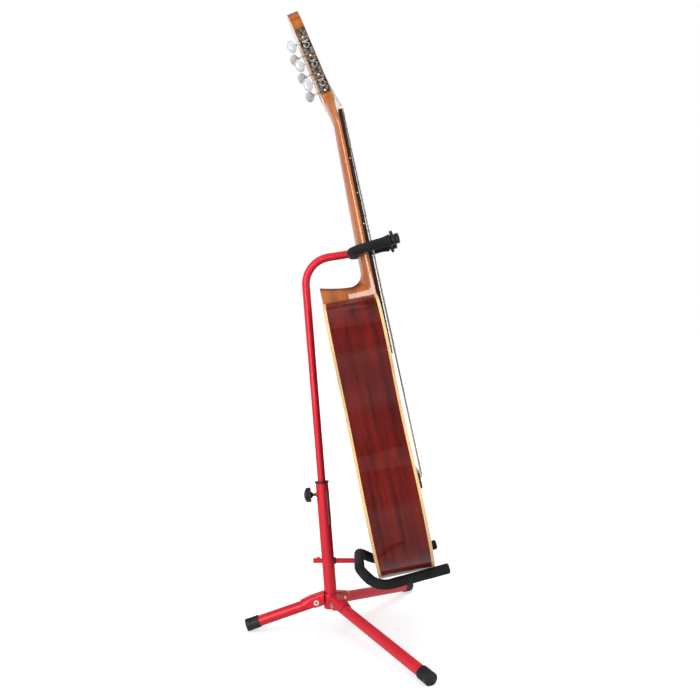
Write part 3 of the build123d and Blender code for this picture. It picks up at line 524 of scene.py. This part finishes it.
def spruce():
    """The soundboard: pale amber with close straight grain."""
    f = Finish("spruce", Roughness=0.4, Specular_IOR_Level=0.2, Coat_Weight=0.4, Coat_Roughness=0.05)
    where = f.place((1, 1, 1), GUITAR_TILT)
    rings = f.add("TexWave", {"Vector": where, "Scale": 130, "Distortion": 0.6, "Detail": 2,
                              "Detail Scale": 0.4}, bands_direction="Y").outputs["Fac"]
    broad = f.noise(f.place((20, 20, 3), GUITAR_TILT), 1.0, 4)
    tone = f.ramp(broad, [(0.3, (0.62, 0.33, 0.11)), (0.7, (0.72, 0.42, 0.16))])
    line = f.ramp(rings, [(0.0, (1, 1, 1)), (0.8, (0.93, 0.90, 0.86)), (1.0, (0.70, 0.60, 0.50))])
    return f.colour(f.tint(tone, line))


def maple():
    """The bindings: cream wood with faint flame."""
    return wood("maple", [(0.3, (0.80, 0.50, 0.21)), (0.6, (0.90, 0.65, 0.32)), (0.8, (0.93, 0.71, 0.40))],
                (160, 30), (1500, 40))


def rosewood():
    """The fretboard and bridge: dark brown, oiled."""
    return wood("rosewood", [(0.3, (0.010, 0.005, 0.004)), (0.55, (0.030, 0.011, 0.008)),
                             (0.8, (0.060, 0.022, 0.014))], (160, 5), (1500, 18), 0.25)


def inner_wood():
    """Blocks, linings and braces: bare pale wood."""
    return wood("inner_wood", [(0.3, (0.42, 0.25, 0.11)), (0.7, (0.56, 0.36, 0.18))], (120, 5), (900, 20),
                0.5, 0.0)


def bone():
    """Nut, saddle and dots: polished cream."""
    f = Finish("bone", Roughness=0.25, Coat_Weight=0.3, Coat_Roughness=0.1)
    where = f.place((400, 400, 90), GUITAR_TILT)
    return f.colour(f.ramp(f.noise(where, 1.0, 4), [(0.3, (0.72, 0.69, 0.62)), (0.7, (0.80, 0.78, 0.72))]))


def pearl():
    """Pearl plastic: milky and a little see-through, with drifting cool and warm clouds."""
    f = Finish("pearl", Roughness=0.3, Specular_IOR_Level=0.2, Coat_Weight=0.2, Coat_Roughness=0.08,
               Transmission_Weight=0.3, Subsurface_Weight=0.15, Subsurface_Radius=(0.004, 0.004, 0.004))
    cloud = f.noise(f.place(), 140, 4, 0.5, 1.5)
    return f.colour(f.ramp(cloud, [(0.3, (0.65, 0.66, 0.70)), (0.5, (0.72, 0.73, 0.75)),
                                   (0.7, (0.78, 0.79, 0.78))]))


def clear_nylon():
    """Clear nylon string, seen as a pale grey line."""
    f = Finish("clear_nylon", Roughness=0.2, Coat_Weight=0.5)
    return f.colour(f.ramp(f.noise(f.place(), 300, 2), [(0.3, (0.62, 0.60, 0.57)), (0.7, (0.74, 0.72, 0.68))]))


RED = red_coat()
FOAM = foam()
RUBBER = rubber()
PLASTIC = moulded_plastic()
STEEL = metal("plated_steel", (0.42, 0.41, 0.40), (0.62, 0.61, 0.60), 0.3)
SHAFT = metal("worn_steel", (0.42, 0.39, 0.35), (0.64, 0.61, 0.56), 0.4, 300, 0.8)
SCROLL = metal("plated_scroll", (0.38, 0.34, 0.29), (0.56, 0.52, 0.45), 0.45)
BRASS = metal("plated_roller", (0.46, 0.43, 0.38), (0.62, 0.59, 0.53), 0.4)
NICKEL = metal("fret_wire", (0.55, 0.53, 0.50), (0.70, 0.68, 0.65), 0.18)
WOUND = metal("wound_wire", (0.52, 0.51, 0.50), (0.70, 0.69, 0.68), 0.45, 1500, 0.5)
BLACKED = metal("blacked_steel", (0.030, 0.029, 0.028), (0.060, 0.058, 0.056), 0.35)
PLATE = engraved_plate()
SIDE_WOOD = red_brown_wood()
NECK_WOOD = neck_wood()
SPRUCE = spruce()
MAPLE = maple()
ROSEWOOD = rosewood()
INNER_WOOD = inner_wood()
BONE = bone()
PEARL = pearl()
NYLON = clear_nylon()
LABEL = label_film()

FINISHES = {
    RED: ["post_tube", "leg_rear", "leg_left", "leg_right", "cradle_bar"],
    RUBBER: ["foot_rear", "foot_left", "foot_right", "yoke_caps", "cradle_bush"],
    PLASTIC: ["clamp_knob", "collar_bush"],
    LABEL: ["label_strip"],
    STEEL: ["leg_rivets", "tuner_screws"],
    BLACKED: ["clamp_screw"],
    BRASS: [f"tuner_roller_{k}" for k in range(1, 7)],
    PLATE: ["tuner_plate_bass", "tuner_plate_treble"],
    SPRUCE: ["soundboard"],
    INNER_WOOD: ["top_braces", "back_braces", "linings", "neck_block", "tail_block"],
    SIDE_WOOD: ["side_bass", "side_treble", "back_plate"],
    MAPLE: ["top_binding", "back_binding"],
    ROSEWOOD: ["fretboard", "bridge"],
    NICKEL: ["frets"],
    BONE: ["nut", "saddle"],
}


def dress_nodes():
    """Gives every CAD node its finish."""
    for material, names in FINISHES.items():
        for name in names:
            mesh = nodes[name].data
            mesh.materials.clear()
            mesh.materials.append(material)


# Stand: hub, mast, foam and strap

def yoke_path(long, step):
    """The yoke's line: from one arm's end, round the back, to the other's."""
    ends = [(long, -YOKE_HALF, 0), (0, -YOKE_HALF, 0), (0, YOKE_HALF, 0), (long, YOKE_HALF, 0)]
    return rounded(yoke(ends), YOKE_CORNER, step)


def mast_tube():
    """The mast's bent tube, and the yoke's bar on its end."""
    main = tube(rounded(MAST_LINE, MAST_BEND, 0.002), MAST_R, ACROSS, 48)
    bar = tube(yoke_path(YOKE_BAR_LONG, 0.002), YOKE_BAR_R, YOKE_UP, 24)
    piece("mast_tube", [main, bar], RED, "mast", ["mast"])


def leg_channel(pivot, side, reach):
    """An arch over a leg's inner end: across = w cos(a)^e, up = h sin(a)^e, with flanges that run down beside the
    rivet and rise towards the open end; e goes from a squarer arch at the rivet to a round one at the open end.
    The inner end stands upright against the collar."""
    up = np.array([0, 0, 1.0])
    flat = np.cross(side, up)
    out, down = reach - PIVOT_R, PIVOT_Z + FOOT_FLAT
    slope = math.atan2(down, out) - math.asin(FOOT_R / math.hypot(out, down))
    along = flat * math.cos(slope) - up * math.sin(slope)
    over = np.cross(along, side)
    x = np.linspace(-CHANNEL_BACK, CHANNEL_LONG, 40)
    x = np.concatenate([x, x[::-1]])[None, :]
    skin_t = np.repeat((CHANNEL_T, 0), 40)[None, :]
    span = (CHANNEL_EASE, CHANNEL_LONG)
    wide, tall = (np.interp(x, span, size) + skin_t for size in (CHANNEL_WIDE, CHANNEL_HIGH))
    e = np.interp(x, span, CHANNEL_POWER)
    low = np.interp(x, (FLANGE[0], CHANNEL_LONG), (FLANGE[1], 0.0))
    drop = np.linspace(1, 0, 8)[:-1, None]
    a = np.linspace(np.pi, 0, 49)[:, None]
    arch = tall * power(np.clip(np.sin(a), 0, 1), e)
    across = np.concatenate([-wide + 0 * drop, wide * power(np.cos(a), e), wide + 0 * drop])
    high = np.concatenate([-low * drop, arch, -low * drop[::-1]])
    start = (HUB_R - CHANNEL_T - PIVOT_R - high * math.sin(slope)) / math.cos(slope)
    x = CHANNEL_LONG + (x - CHANNEL_LONG) * (CHANNEL_LONG - start) / (CHANNEL_LONG + CHANNEL_BACK)
    skin = np.stack(np.broadcast_arrays(x, across, high), -1) @ np.stack([along, side, over]) + pivot
    return closed(skin, skin[0].mean(0), skin[-1].mean(0))


def hub_shell():
    """The hub: a collar round the post with three arched channels."""
    low, high = -0.0130, 0.0140
    ring = [(low, POST_R), (low, HUB_R - 0.0016), (low + 0.0005, HUB_R - 0.0005), (low + 0.0016, HUB_R),
            (high - 0.0022, HUB_R), (high - 0.0010, HUB_R - 0.0004), (high - 0.0002, HUB_R - 0.0012),
            (high, HUB_R - 0.0020), (high, POST_R), (low, POST_R)]
    parts = [lathe(HUB_AT, LEAN, ring, 64)]
    for name, reach in REACH.items():
        fold = joints[f"{name}_leg_fold"]
        parts.append(leg_channel(np.array(fold["pos_m"]), np.array(fold["axis"]), reach))
    piece("hub_shell", parts, RED, "base", ["base_hub"])


def sleeve(name, path, radius, flare, side, body, node, shape=None):
    """A foam sleeve: a tube that swells a little along its length, with rounded ends.
    radius(s) = r + waves + flare exp(-(d / 9 mm)^2), d being the distance to the nearer end.
    shape, where there is one, then moves the points."""
    along = lengths(path)
    near = np.minimum(along, along[-1] - along)
    end = np.sqrt(np.clip(1 - (1 - near / SLEEVE_ROUND) ** 2, 0, 1)) - 1
    lip = np.where(near < SLEEVE_ROUND, end, 0) * SLEEVE_ROUND
    wave = 0.00011 * np.sin(along * 95) + 0.00009 * np.sin(along * 211 + 1)
    swell = flare * np.exp(-(near / SLEEVE_FLARE) ** 2)
    points, faces = tube(path, radius + lip + wave + swell, side, 56)
    made = piece(name, [(shape(points) if shape else points, faces)], FOAM, body, [node])


def neck_dent(points):
    """The hollow that the neck leaves in the yoke's back bar, which is room for it when the mast rises:
    out <= r + 0.9 mm - 4.3 mm sqrt(1 - (y / 24 mm)^2), out being square to the neck."""
    square = toward(guitar, [1, 0, 0])
    out, y = (points - YOKE_AT) @ square, points[:, 1]
    room = YOKE_FOAM_R + DENT_RIM - DENT_DEEP * np.sqrt(np.clip(1 - (y / DENT_HALF) ** 2, 0, 1))
    return points - np.where(np.abs(y) < DENT_HALF, np.maximum(out - room, 0), 0)[:, None] * square


def yoke_sleeve():
    """The yoke's foam: along both arms and round the back."""
    path = yoke_path(YOKE_FOAM_LONG, 0.001)
    sleeve("yoke_sleeve", path, YOKE_FOAM_R, YOKE_FLARE, YOKE_UP, "mast", "yoke_foam", neck_dent)


def cradle_sleeve():
    """The cradle's foam: out along both arms, down and up round the back."""
    near = np.array([CRADLE_TIP, CRADLE_LOW, CRADLE_BACK])
    far = near[::-1] * (1, -1, 1)
    far[-1] += CRADLE_SHORT * unit(far[-2] - far[-1])
    path = rounded(np.concatenate([near, far]), CRADLE_BEND, 0.0012)
    sleeve("cradle_sleeve", path, CRADLE_FOAM_R, 0, (0.3, 0, 1), "base", "cradle_foam")


def strap():
    """The strap: a ring on each arm, a band that widens towards them, and two finger tabs.
    The band's section is a rounded box: half width times |cos|^0.5, half height times |sin|^0.5."""
    h, r, c = STRAP_HALF, STRAP_R, STRAP_EDGE
    ring = [(-h, STRAP_HOLE), (-h, r - c), (-h + 0.3 * c, r - 0.3 * c), (-h + c, r), (h - c, r),
            (h - 0.3 * c, r - 0.3 * c), (h, r - c), (h, STRAP_HOLE), (-h, STRAP_HOLE)]
    parts = [lathe(yoke([STRAP_MID, side * YOKE_HALF, 0]), ARM, ring, 56) for side in (-1, 1)]
    y = np.linspace(-BAND_END, BAND_END, 61)[:, None]
    a = np.linspace(0, 2 * np.pi, 40, endpoint=False)[None, :]
    out = STRAP_MID + BAND_HALF * power(np.cos(a), 0.5)
    tall = BAND_TALL[0] + BAND_TALL[1] * np.abs(y / BAND_END) ** 5
    band = np.stack(np.broadcast_arrays(out, y, tall * power(np.sin(a), 0.5)), -1)
    parts.append(closed(yoke(band), yoke([STRAP_MID, -BAND_END, 0]), yoke([STRAP_MID, BAND_END, 0])))
    t = np.linspace(0, 1, 40)
    tip_round = np.where(t > 0.85, np.sqrt(np.clip(1 - ((t - 0.85) / 0.15) ** 2, 0, 1)), 1)
    width = tip_round * (0.0033 - 0.0007 * t)
    for side, lean, tip in ((-1, -0.0008, 0.0158), (1, 0.0016, -0.0142)):
        spine = np.stack([STRAP_MID + lean * t, np.full(40, side * YOKE_HALF), tip * (0.3 + 0.7 * t)], -1)
        parts.append(tube(yoke(spine), width, ACROSS, 28))
    piece("strap_band", parts, RUBBER, "strap", ["neck_strap"])


def stand_pieces():
    """The stand's hub, mast and soft pieces."""
    hub_shell()
    mast_tube()
    yoke_sleeve()
    cradle_sleeve()
    strap()


# Guitar: neck, strings, inlays and ties

def neck_width(z):
    """Half the neck's width at a height."""
    return np.interp(NUT_Z - z, (0, NUT_Z - BODY_Z), NECK_HALF)


def neck_stations():
    """The neck's sections from the heel's back end up to the head, one row each: the front line's place (x, z),
    the way to the back (x, z), half the width, the depth and the straight wall's depth."""
    def rows(*columns):
        """Columns, or single values for all rows, side by side."""
        return np.stack(np.broadcast_arrays(*columns), -1)

    deep, wide = NECK_DEEP[1], neck_width(HEEL_TOP)
    s = np.linspace(1, 0, 48)
    high = deep + (HEEL_HIGH - deep) * s ** 1.6 + HEEL_OVER
    wall = NECK_WALL + HEEL_OVER + 0.6 * (high - NECK_WALL - HEEL_OVER) * smooth(s / 0.45)
    back = rows(-(deep + HEEL_R) * (1 - s) - DEPTH * s, BODY_Z + HEEL_RISE - HEEL_OVER, 0, 1, wide, high, wall)
    a = np.linspace(np.pi / 2, 0, 60)[1:]
    over = HEEL_OVER * np.clip(a / 0.3, 0, 1)
    out = (deep + HEEL_R) / np.maximum(np.cos(a), np.sin(a)) + over
    fan = rows(-(deep + HEEL_R) + out * np.cos(a), HEEL_TOP - out * np.sin(a), -np.cos(a), np.sin(a), wide,
               out - HEEL_R, NECK_WALL + over)
    z = np.linspace(HEEL_TOP, THROAT_Z, 60)[1:]
    depth = np.interp(z, (HEEL_TOP, THROAT_Z), NECK_DEEP[::-1])
    shaft = rows(0, z, -1, 0, neck_width(z), depth, NECK_WALL)
    c, d = math.cos(HEAD_TILT), math.sin(HEAD_TILT)
    x, z = -THROAT_END * d - THROAT_INTO * c, NUT_BACK + THROAT_END * c - THROAT_INTO * d
    last = np.array([x, z, -c, -d, *THROAT])
    t = np.linspace(0, 1, 40)[1:, None]
    ease = np.concatenate([np.repeat(t, 2, 1), np.repeat(smooth(t), 5, 1)], 1)
    throat = shaft[-1] + (last - shaft[-1]) * ease
    return np.concatenate([back, fan, shaft, throat])


def neck_wood_shaft():
    """The heel, neck and throat in one skin. A section is flat in front, with straight walls and a half-oval back:
    across = half cos p, depth = wall + (deep - wall) sin p. The heel narrows evenly towards its back."""
    x, z, way_x, way_z, half, deep, wall = np.moveaxis(neck_stations()[..., None], 1, 0)
    front = np.array([-1, -0.98, -0.5, 0, 0.5, 0.98, 1])
    p = np.linspace(0, np.pi, 61)
    rise = np.array([0.12, 0.5, 0.88])
    across = half * np.concatenate([front, [1, 1, 1], np.cos(p), [-1, -1, -1]])
    depth = wall * np.concatenate([0 * front, rise, 0 * p + 1, rise[::-1]])
    depth = depth + (deep - wall) * np.concatenate([0 * front, 0 * rise, np.sin(p), 0 * rise])
    x, z = x + way_x * depth, z + way_z * depth
    near = smooth((HEEL_TOP + HEEL_SPREAD / 2 - z) / HEEL_SPREAD)
    wide = neck_width(HEEL_TOP)
    taper = 1 - np.interp(-x, (0, HEEL_WAIST, DEPTH), (wide, *HEEL_HALF)) / wide
    skin = guitar(np.stack([x, across * (1 - taper * near), z], -1))
    parts = [closed(skin, skin[0].mean(0), skin[-1].mean(0))]
    piece("neck_shaft", parts, NECK_WOOD, "guitar", ["neck"])


def head_block():
    """The head: the CAD neck's own mesh above the throat, merged, cut flat and closed, sharp edges kept."""
    mesh = nodes["neck"].data.copy()
    work = bmesh.new()
    work.from_mesh(mesh)
    bmesh.ops.remove_doubles(work, verts=work.verts, dist=1e-6)
    cut = bmesh.ops.bisect_plane(work, geom=work.verts[:] + work.edges[:] + work.faces[:], dist=1e-7,
                                 plane_co=head([0, 0, HEAD_LOW]), plane_no=toward(head, [0, 0, 1]),
                                 clear_inner=True)
    rim = [e for e in cut["geom_cut"] if isinstance(e, bmesh.types.BMEdge)]
    bmesh.ops.triangle_fill(work, edges=rim, use_beauty=True, use_dissolve=False)
    bmesh.ops.recalc_face_normals(work, faces=work.faces)
    work.to_mesh(mesh)
    work.free()
    if "custom_normal" in mesh.attributes:
        mesh.attributes.remove(mesh.attributes["custom_normal"])
    mesh.polygons.foreach_set("use_smooth", np.ones(len(mesh.polygons), bool))
    mesh.set_sharp_from_angle(angle=math.radians(30))
    mesh.materials.clear()
    mesh.materials.append(NECK_WOOD)
    made = linked("head_block", mesh)
    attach(made, "guitar")


def string_path(number, radius):
    """A string's line: tie block, saddle, nut, then a straight run that meets its winding squarely.
    The winding is a helix round the roller: x = c + w sin(a), z = h + w cos(a), y moving a pitch each turn."""
    share, side = 1 - 2 * number / 5, -1 if number < 3 else 1
    at = ROLLERS[number if number < 3 else 5 - number]
    wind, top = ROLLER_R + STRING_GAP + radius, STRING_TOP + radius
    edge = np.array([top * math.cos(HEAD_TILT), -top * math.sin(HEAD_TILT)])
    to = np.array([HEAD_MID, at]) - edge
    far = math.hypot(*to)
    aim = math.atan2(*to) + math.asin(wind / far)
    meet = edge + math.sqrt(far ** 2 - wind ** 2) * np.array([math.sin(aim), math.cos(aim)])
    pitch = side * (2 * radius + 0.0006)
    y_start = side * SLOT_Y - 1.5 * pitch
    y = -STRING_SADDLE_HALF * share
    foot = guitar([(TIE_X, y, SADDLE_Z - 0.0225), (TIE_X, y, SADDLE_Z - 0.010), (SADDLE_TOP + radius, y, SADDLE_Z),
                   (top, -STRING_NUT_HALF * share, NUT_BACK)])
    run = rounded(np.concatenate([foot, head([[meet[0], y_start, meet[1]]])]), STRING_BEND, 0.0015)
    turns = np.linspace(0, 3, 90)
    a = math.atan2(meet[0] - HEAD_MID, meet[1] - at) - 2 * np.pi * turns
    helix = head(np.stack([HEAD_MID + wind * np.sin(a), y_start + pitch * turns, at + wind * np.cos(a)], -1))
    return np.concatenate([run[:-1], helix])


def tie_path(number, radius):
    """The knot at the tie block: out of its back, over its top, once round the string and back under itself."""
    y = -STRING_SADDLE_HALF * (1 - 2 * number / 5)
    lift = TIE_TOP + radius
    loop = [(TIE_X, y, -0.0205), (TIE_X + 0.0004, y, -0.0222), (lift - 0.0004, y + 0.0004, -0.0212),
            (lift, y + 0.0010, -0.0170), (lift, y + 0.0012, -0.0100), (lift - 0.0003, y - 0.0006, -0.0080),
            (TIE_X + 0.0007, y - 0.0013, -0.0076), (TIE_X + 0.0006, y + 0.0010, -0.0078),
            (lift - 0.0002, y + 0.0022, -0.0096), (lift, y + 0.0026, -0.0150), (lift - 0.0005, y + 0.0028, -0.0192)]
    return guitar(curve(np.array(loop) + (0, 0, SADDLE_Z), 8))


def strings():
    """Three wound and three plain strings, each with its knot."""
    for name, numbers, finish in (("wound", (0, 1, 2), WOUND), ("nylon", (3, 4, 5), NYLON)):
        parts = []
        for k in numbers:
            parts.append(tube(string_path(k, STRINGS[k]), STRINGS[k], ACROSS, 10))
            parts.append(tube(tie_path(k, STRINGS[k]), STRINGS[k], (0.4, 0.25, 0.88), 10))
        piece(f"{name}_set", parts, finish, "guitar", [f"{name}_strings"])


def fret_height(number):
    """A fret's height: each fret leaves 2^(-1/12) of the string before it."""
    return NUT_Z - SCALE * (1 - 2 ** (-number / 12))


def side_dots():
    """Inlaid dots on the fretboard's near edge, halfway between frets."""
    dome = [(-0.0004, 0), (-0.0004, 0.0011), (0.00006, 0.0011), (0.00014, 0.0008), (0.00018, 0.0004), (0.0002, 0)]
    parts = []
    for z in [fret_height(n - 0.5) for n in DOTS]:
        parts.append(lathe(guitar([BOARD_T / 2, -neck_width(z), z]), -ACROSS, dome, 20))
    piece("side_dots", parts, BONE, "guitar")


def sound_hole_rings():
    """Plain inlaid rings round the sound hole, each a flat ring a hair above the soundboard."""
    def ring(inner, outer, high):
        """A rectangle turned about the hole's axis."""
        profile = [(RING_FOOT, inner), (high, inner), (high, outer), (RING_FOOT, outer), (RING_FOOT, inner)]
        return lathe(guitar([0, 0, HOLE_Z]), toward(guitar, [1, 0, 0]), profile, 128)

    lines = [ring(inner, outer, RING_HIGH[1]) for inner, outer in RING_LINES]
    bands = [ring(a[1], b[0], RING_HIGH[0]) for a, b in zip(RING_LINES, RING_LINES[1:])]
    piece("hole_lines", lines, ROSEWOOD, "guitar")
    piece("hole_bands", bands[::2], MAPLE, "guitar")
    piece("hole_ring", bands[1:2], SIDE_WOOD, "guitar")


def guitar_pieces():
    """The guitar's neck, strings and inlays."""
    neck_wood_shaft()
    head_block()
    strings()
    side_dots()
    sound_hole_rings()


# Head: worms, buttons, wheel screws and plate scrolls

def keys():
    """The six tuners: their roller's height and their side, bass first."""
    return [(at, -1) for at in ROLLERS] + [(at, 1) for at in ROLLERS]


def threaded(start, way, long, mean, depth, pitch):
    """A worm: radius = mean + depth cos(a - 2 pi s / pitch), s along the axis, closed at both ends."""
    way = unit(np.array(way, float))
    n = unit(np.cross(way, ACROSS))
    b = np.cross(way, n)
    s = np.linspace(0, long, int(long / pitch * 14))[:, None, None]
    a = np.linspace(0, 2 * np.pi, 28, endpoint=False)[None, :, None]
    radius = mean + depth * np.cos(a - 2 * np.pi * s / pitch)
    points = start + s * way + radius * (np.cos(a) * n + np.sin(a) * b)
    return closed(points, start, start + long * way)


def worms():
    """Each key's worm between its bearings, and its turned shaft with two beads before the button."""
    back = toward(head, [-1, 0, 0])
    shaft = [(-0.0086, 0), (-0.0086, 0.0012), (-0.0083, 0.0015), (-0.0068, 0.0015), (0.0087, 0.0015),
             (0.0092, 0.0019), (0.0098, 0.0021), (0.0104, 0.0019), (0.0108, 0.0013), (0.0120, 0.0013),
             (0.0125, 0.0018), (0.0131, 0.0019), (0.0137, 0.0018), (0.0142, 0.0013), (0.0240, 0.0013), (0.0240, 0)]
    for k, (at, side) in enumerate(keys(), 1):
        middle = head([HEAD_MID, side * WORM_Y, at + WORM_UP])
        thread = threaded(middle - WORM_LONG / 2 * back, back, WORM_LONG, WORM_R, *THREAD)
        piece(f"worm_{k}", [thread], BRASS, f"key_{k}", [f"tuner_worm_{k}"])
        piece(f"worm_shaft_{k}", [lathe(middle, back, shaft, 24)], SHAFT, f"key_{k}")


def buttons():
    """The oval buttons: x = a r cos t, z = b r sin t, y = +-thick sqrt(1 - r^3), with a short neck to the shaft.
    The far side's buttons stand turned about their shafts."""
    a, thick, b = BUTTON
    turn = np.linspace(0, np.pi / 2, 22)
    r = np.sin(np.concatenate([turn, np.pi / 2 + turn[1:]]))[:, None]
    face = np.where(np.arange(43) < 22, 1, -1)[:, None]
    t = np.linspace(0, 2 * np.pi, 56, endpoint=False)[None, :]
    x, z = a * r * np.cos(t), b * r * np.sin(t) * (1 + 0.05 * np.cos(t))
    y = face * thick * np.sqrt(np.clip(1 - r ** 3, 0, 1)) + 0 * t
    neck = [(0.0, 0), (0.0, 0.0034), (0.0016, 0.0032), (0.0026, 0.0026), (0.0031, 0.0023), (0.0033, 0.0018),
            (0.0033, 0)]
    front = toward(head, [1, 0, 0])
    for k, (at, side) in enumerate(keys(), 1):
        middle = np.array([HEAD_MID - BUTTON_AT, side * WORM_Y, at + WORM_UP])
        c, s = (1, 0) if side < 0 else (math.cos(FAR_TURN), math.sin(FAR_TURN))
        oval = surface(head(middle + np.stack([x, y * c - z * s, y * s + z * c], -1)))
        stem = lathe(head(middle + (a - 0.0013, 0, 0)), front, neck, 28)
        piece(f"button_{k}", [oval, stem], PEARL, f"key_{k}", [f"tuner_button_{k}"])


def wheel_screws():
    """The dark screw that holds each gear wheel: a low dome."""
    dome = [(-0.0003, 0), (-0.0003, 0.0040), (0.0011, 0.0040), (0.0014, 0.0034), (0.0016, 0.0018), (0.0017, 0.0008),
            (0.0017, 0)]
    for k, (at, side) in enumerate(keys(), 1):
        foot = head([HEAD_MID, side * (GEAR_FACE - SCREW_SUNK), at])
        piece(f"wheel_screw_{k}", [lathe(foot, side * ACROSS, dome, 28)], BLACKED, f"roller_{k}")


def plate_scrolls():
    """Raised scrolls on the side plates: spirals r = size (1 - 0.86 t), 1.35 turns, in mirrored pairs."""
    t = np.linspace(0, 1, 54)
    r = SCROLL_R * (1 - 0.86 * t)
    for name, side in (("bass", -1), ("treble", 1)):
        parts = []
        for at in ROLLERS:
            for x, z, hand, start in SCROLLS:
                a = start + hand * 2 * np.pi * SCROLL_TURNS * t
                spine = np.stack(np.broadcast_arrays(HEAD_MID + x + r * np.cos(a), side * PLATE_FACE,
                                                     at + z + r * np.sin(a)), -1)
                parts.append(tube(head(spine), SCROLL_WIRE, ACROSS, 8))
        piece(f"plate_scrolls_{name}", parts, SCROLL, "guitar")


def head_pieces():
    """The tuners' small turned and engraved details."""
    worms()
    buttons()
    wheel_screws()
    plate_scrolls()


# Studio

def floor():
    """A wide white floor that keeps the object's shadow and meets the white background."""
    size = 40.0
    mesh = bpy.data.meshes.new("floor")
    mesh.from_pydata([(-size, -size, 0), (size, -size, 0), (size, size, 0), (-size, size, 0)], [], [(0, 1, 2, 3)])
    made = linked("floor", mesh)
    f = Finish("floor_white", Roughness=0.9)
    f.colour((0.62, 0.62, 0.62, 1))
    path = f.add("LightPath", {})
    seen = f.calc("ADD", f.calc("ADD", path.outputs["Is Camera Ray"], path.outputs["Is Glossy Ray"]),
                  path.outputs["Is Transmission Ray"])
    away = f.add("VectorMath", {0: f.place()}, operation="LENGTH").outputs["Value"]
    glow = f.add("MapRange", {"Value": away, "From Min": 0.5, "From Max": 2.2, "To Min": FLOOR_GLOW[0],
                              "To Max": FLOOR_GLOW[1]}, interpolation_type="SMOOTHSTEP").outputs[0]
    f.put(f.shader, {"Emission Color": (1, 1, 1, 1), "Emission Strength": f.calc("MULTIPLY", seen, glow)})
    mesh.materials.append(f.material)


def background():
    """White where it is seen or mirrored, a plain grey light elsewhere."""
    world = bpy.data.worlds.new("studio")
    bpy.context.scene.world = world
    world.use_nodes = True
    tree = world.node_tree
    shade = tree.nodes["Background"]
    shade.inputs["Color"].default_value = (1, 1, 1, 1)
    path = tree.nodes.new("ShaderNodeLightPath")
    seen = None
    for ray in ("Is Camera Ray", "Is Glossy Ray", "Is Transmission Ray"):
        either = tree.nodes.new("ShaderNodeMath")
        either.operation = "MAXIMUM"
        tree.links.new(path.outputs[ray], either.inputs[0])
        if seen:
            tree.links.new(seen, either.inputs[1])
        seen = either.outputs[0]
    level = tree.nodes.new("ShaderNodeMapRange")
    level.inputs["To Min"].default_value = WORLD_LIGHT
    level.inputs["To Max"].default_value = 1.0
    tree.links.new(seen, level.inputs["Value"])
    tree.links.new(level.outputs[0], shade.inputs["Strength"])


def card(name, corners, light=0.0, fade=0.0):
    """A card that only gloss mirrors: dark, to keep the white room out of it, or bright, for a clean streak.
    With a fade it is bright at the floor and darkens up to that height."""
    mesh = bpy.data.meshes.new(name)
    mesh.from_pydata(corners, [], [(0, 1, 2, 3)])
    made = linked(name, mesh)
    f = Finish(name + "_cloth", Roughness=1.0, Specular_IOR_Level=0.0)
    if fade:
        z = f.add("SeparateXYZ", {0: f.place()}).outputs["Z"]
        light = f.add("MapRange", {"Value": z, "From Max": fade, "To Min": 1.0, "To Max": 0.0},
                      interpolation_type="SMOOTHSTEP").outputs[0]
    mesh.materials.append(f.colour((0.02, 0.02, 0.02, 1), Emission_Color=(1, 1, 1, 1), Emission_Strength=light))
    made.visible_camera = made.visible_diffuse = made.visible_shadow = False


def softbox(name, at, target, size, watts, mirrored=True):
    """A rectangular lamp turned to a point; gloss mirrors it or not."""
    lamp = bpy.data.lights.new(name, "AREA")
    lamp.shape = "RECTANGLE"
    lamp.size, lamp.size_y = size
    lamp.energy = watts
    made = linked(name, lamp)
    made.location = at
    made.rotation_mode = "QUATERNION"
    made.rotation_quaternion = (Vector(target) - Vector(at)).to_track_quat("-Z", "Y")
    made.visible_glossy = mirrored


def studio():
    """Soft light from above and both sides, and cards for gloss to mirror."""
    floor()
    background()
    card("screen_front", [(-8, -3.4, 0), (8, -3.4, 0), (8, -3.4, 4), (-8, -3.4, 4)], fade=0.9)
    card("screen_top", [(-8, -3.4, 4), (8, -3.4, 4), (8, 6, 4), (-8, 6, 4)])
    card("streak_left", [(-1.95, -1.81, 0.1), (-0.62, -2.72, 0.1), (-0.62, -2.72, 2.1), (-1.95, -1.81, 2.1)], 10.0)
    softbox("lamp_left", (-1.8, -1.7, 1.3), (0, 0, 0.6), (1.7, 1.6), 36, False)
    softbox("lamp_right", (1.7, -1.5, 1.2), (0, 0, 0.6), (0.9, 1.6), 10)
    softbox("lamp_top", (0.1, 0.1, 2.4), (0, 0, 0), (2.6, 2.6), 22)


def camera():
    """The photograph's view: level, along +Y."""
    data = bpy.data.cameras.new("camera")
    data.sensor_width = 36.0
    data.lens = CAMERA_LENS
    data.shift_y = CAMERA_SHIFT
    made = linked("camera", data)
    made.location = CAMERA_AT
    made.rotation_euler = (math.pi / 2, 0, 0)
    bpy.context.scene.camera = made


dress_nodes()
stand_pieces()
guitar_pieces()
head_pieces()
camera()
studio()
bpy.context.scene.view_settings.view_transform = "Standard"
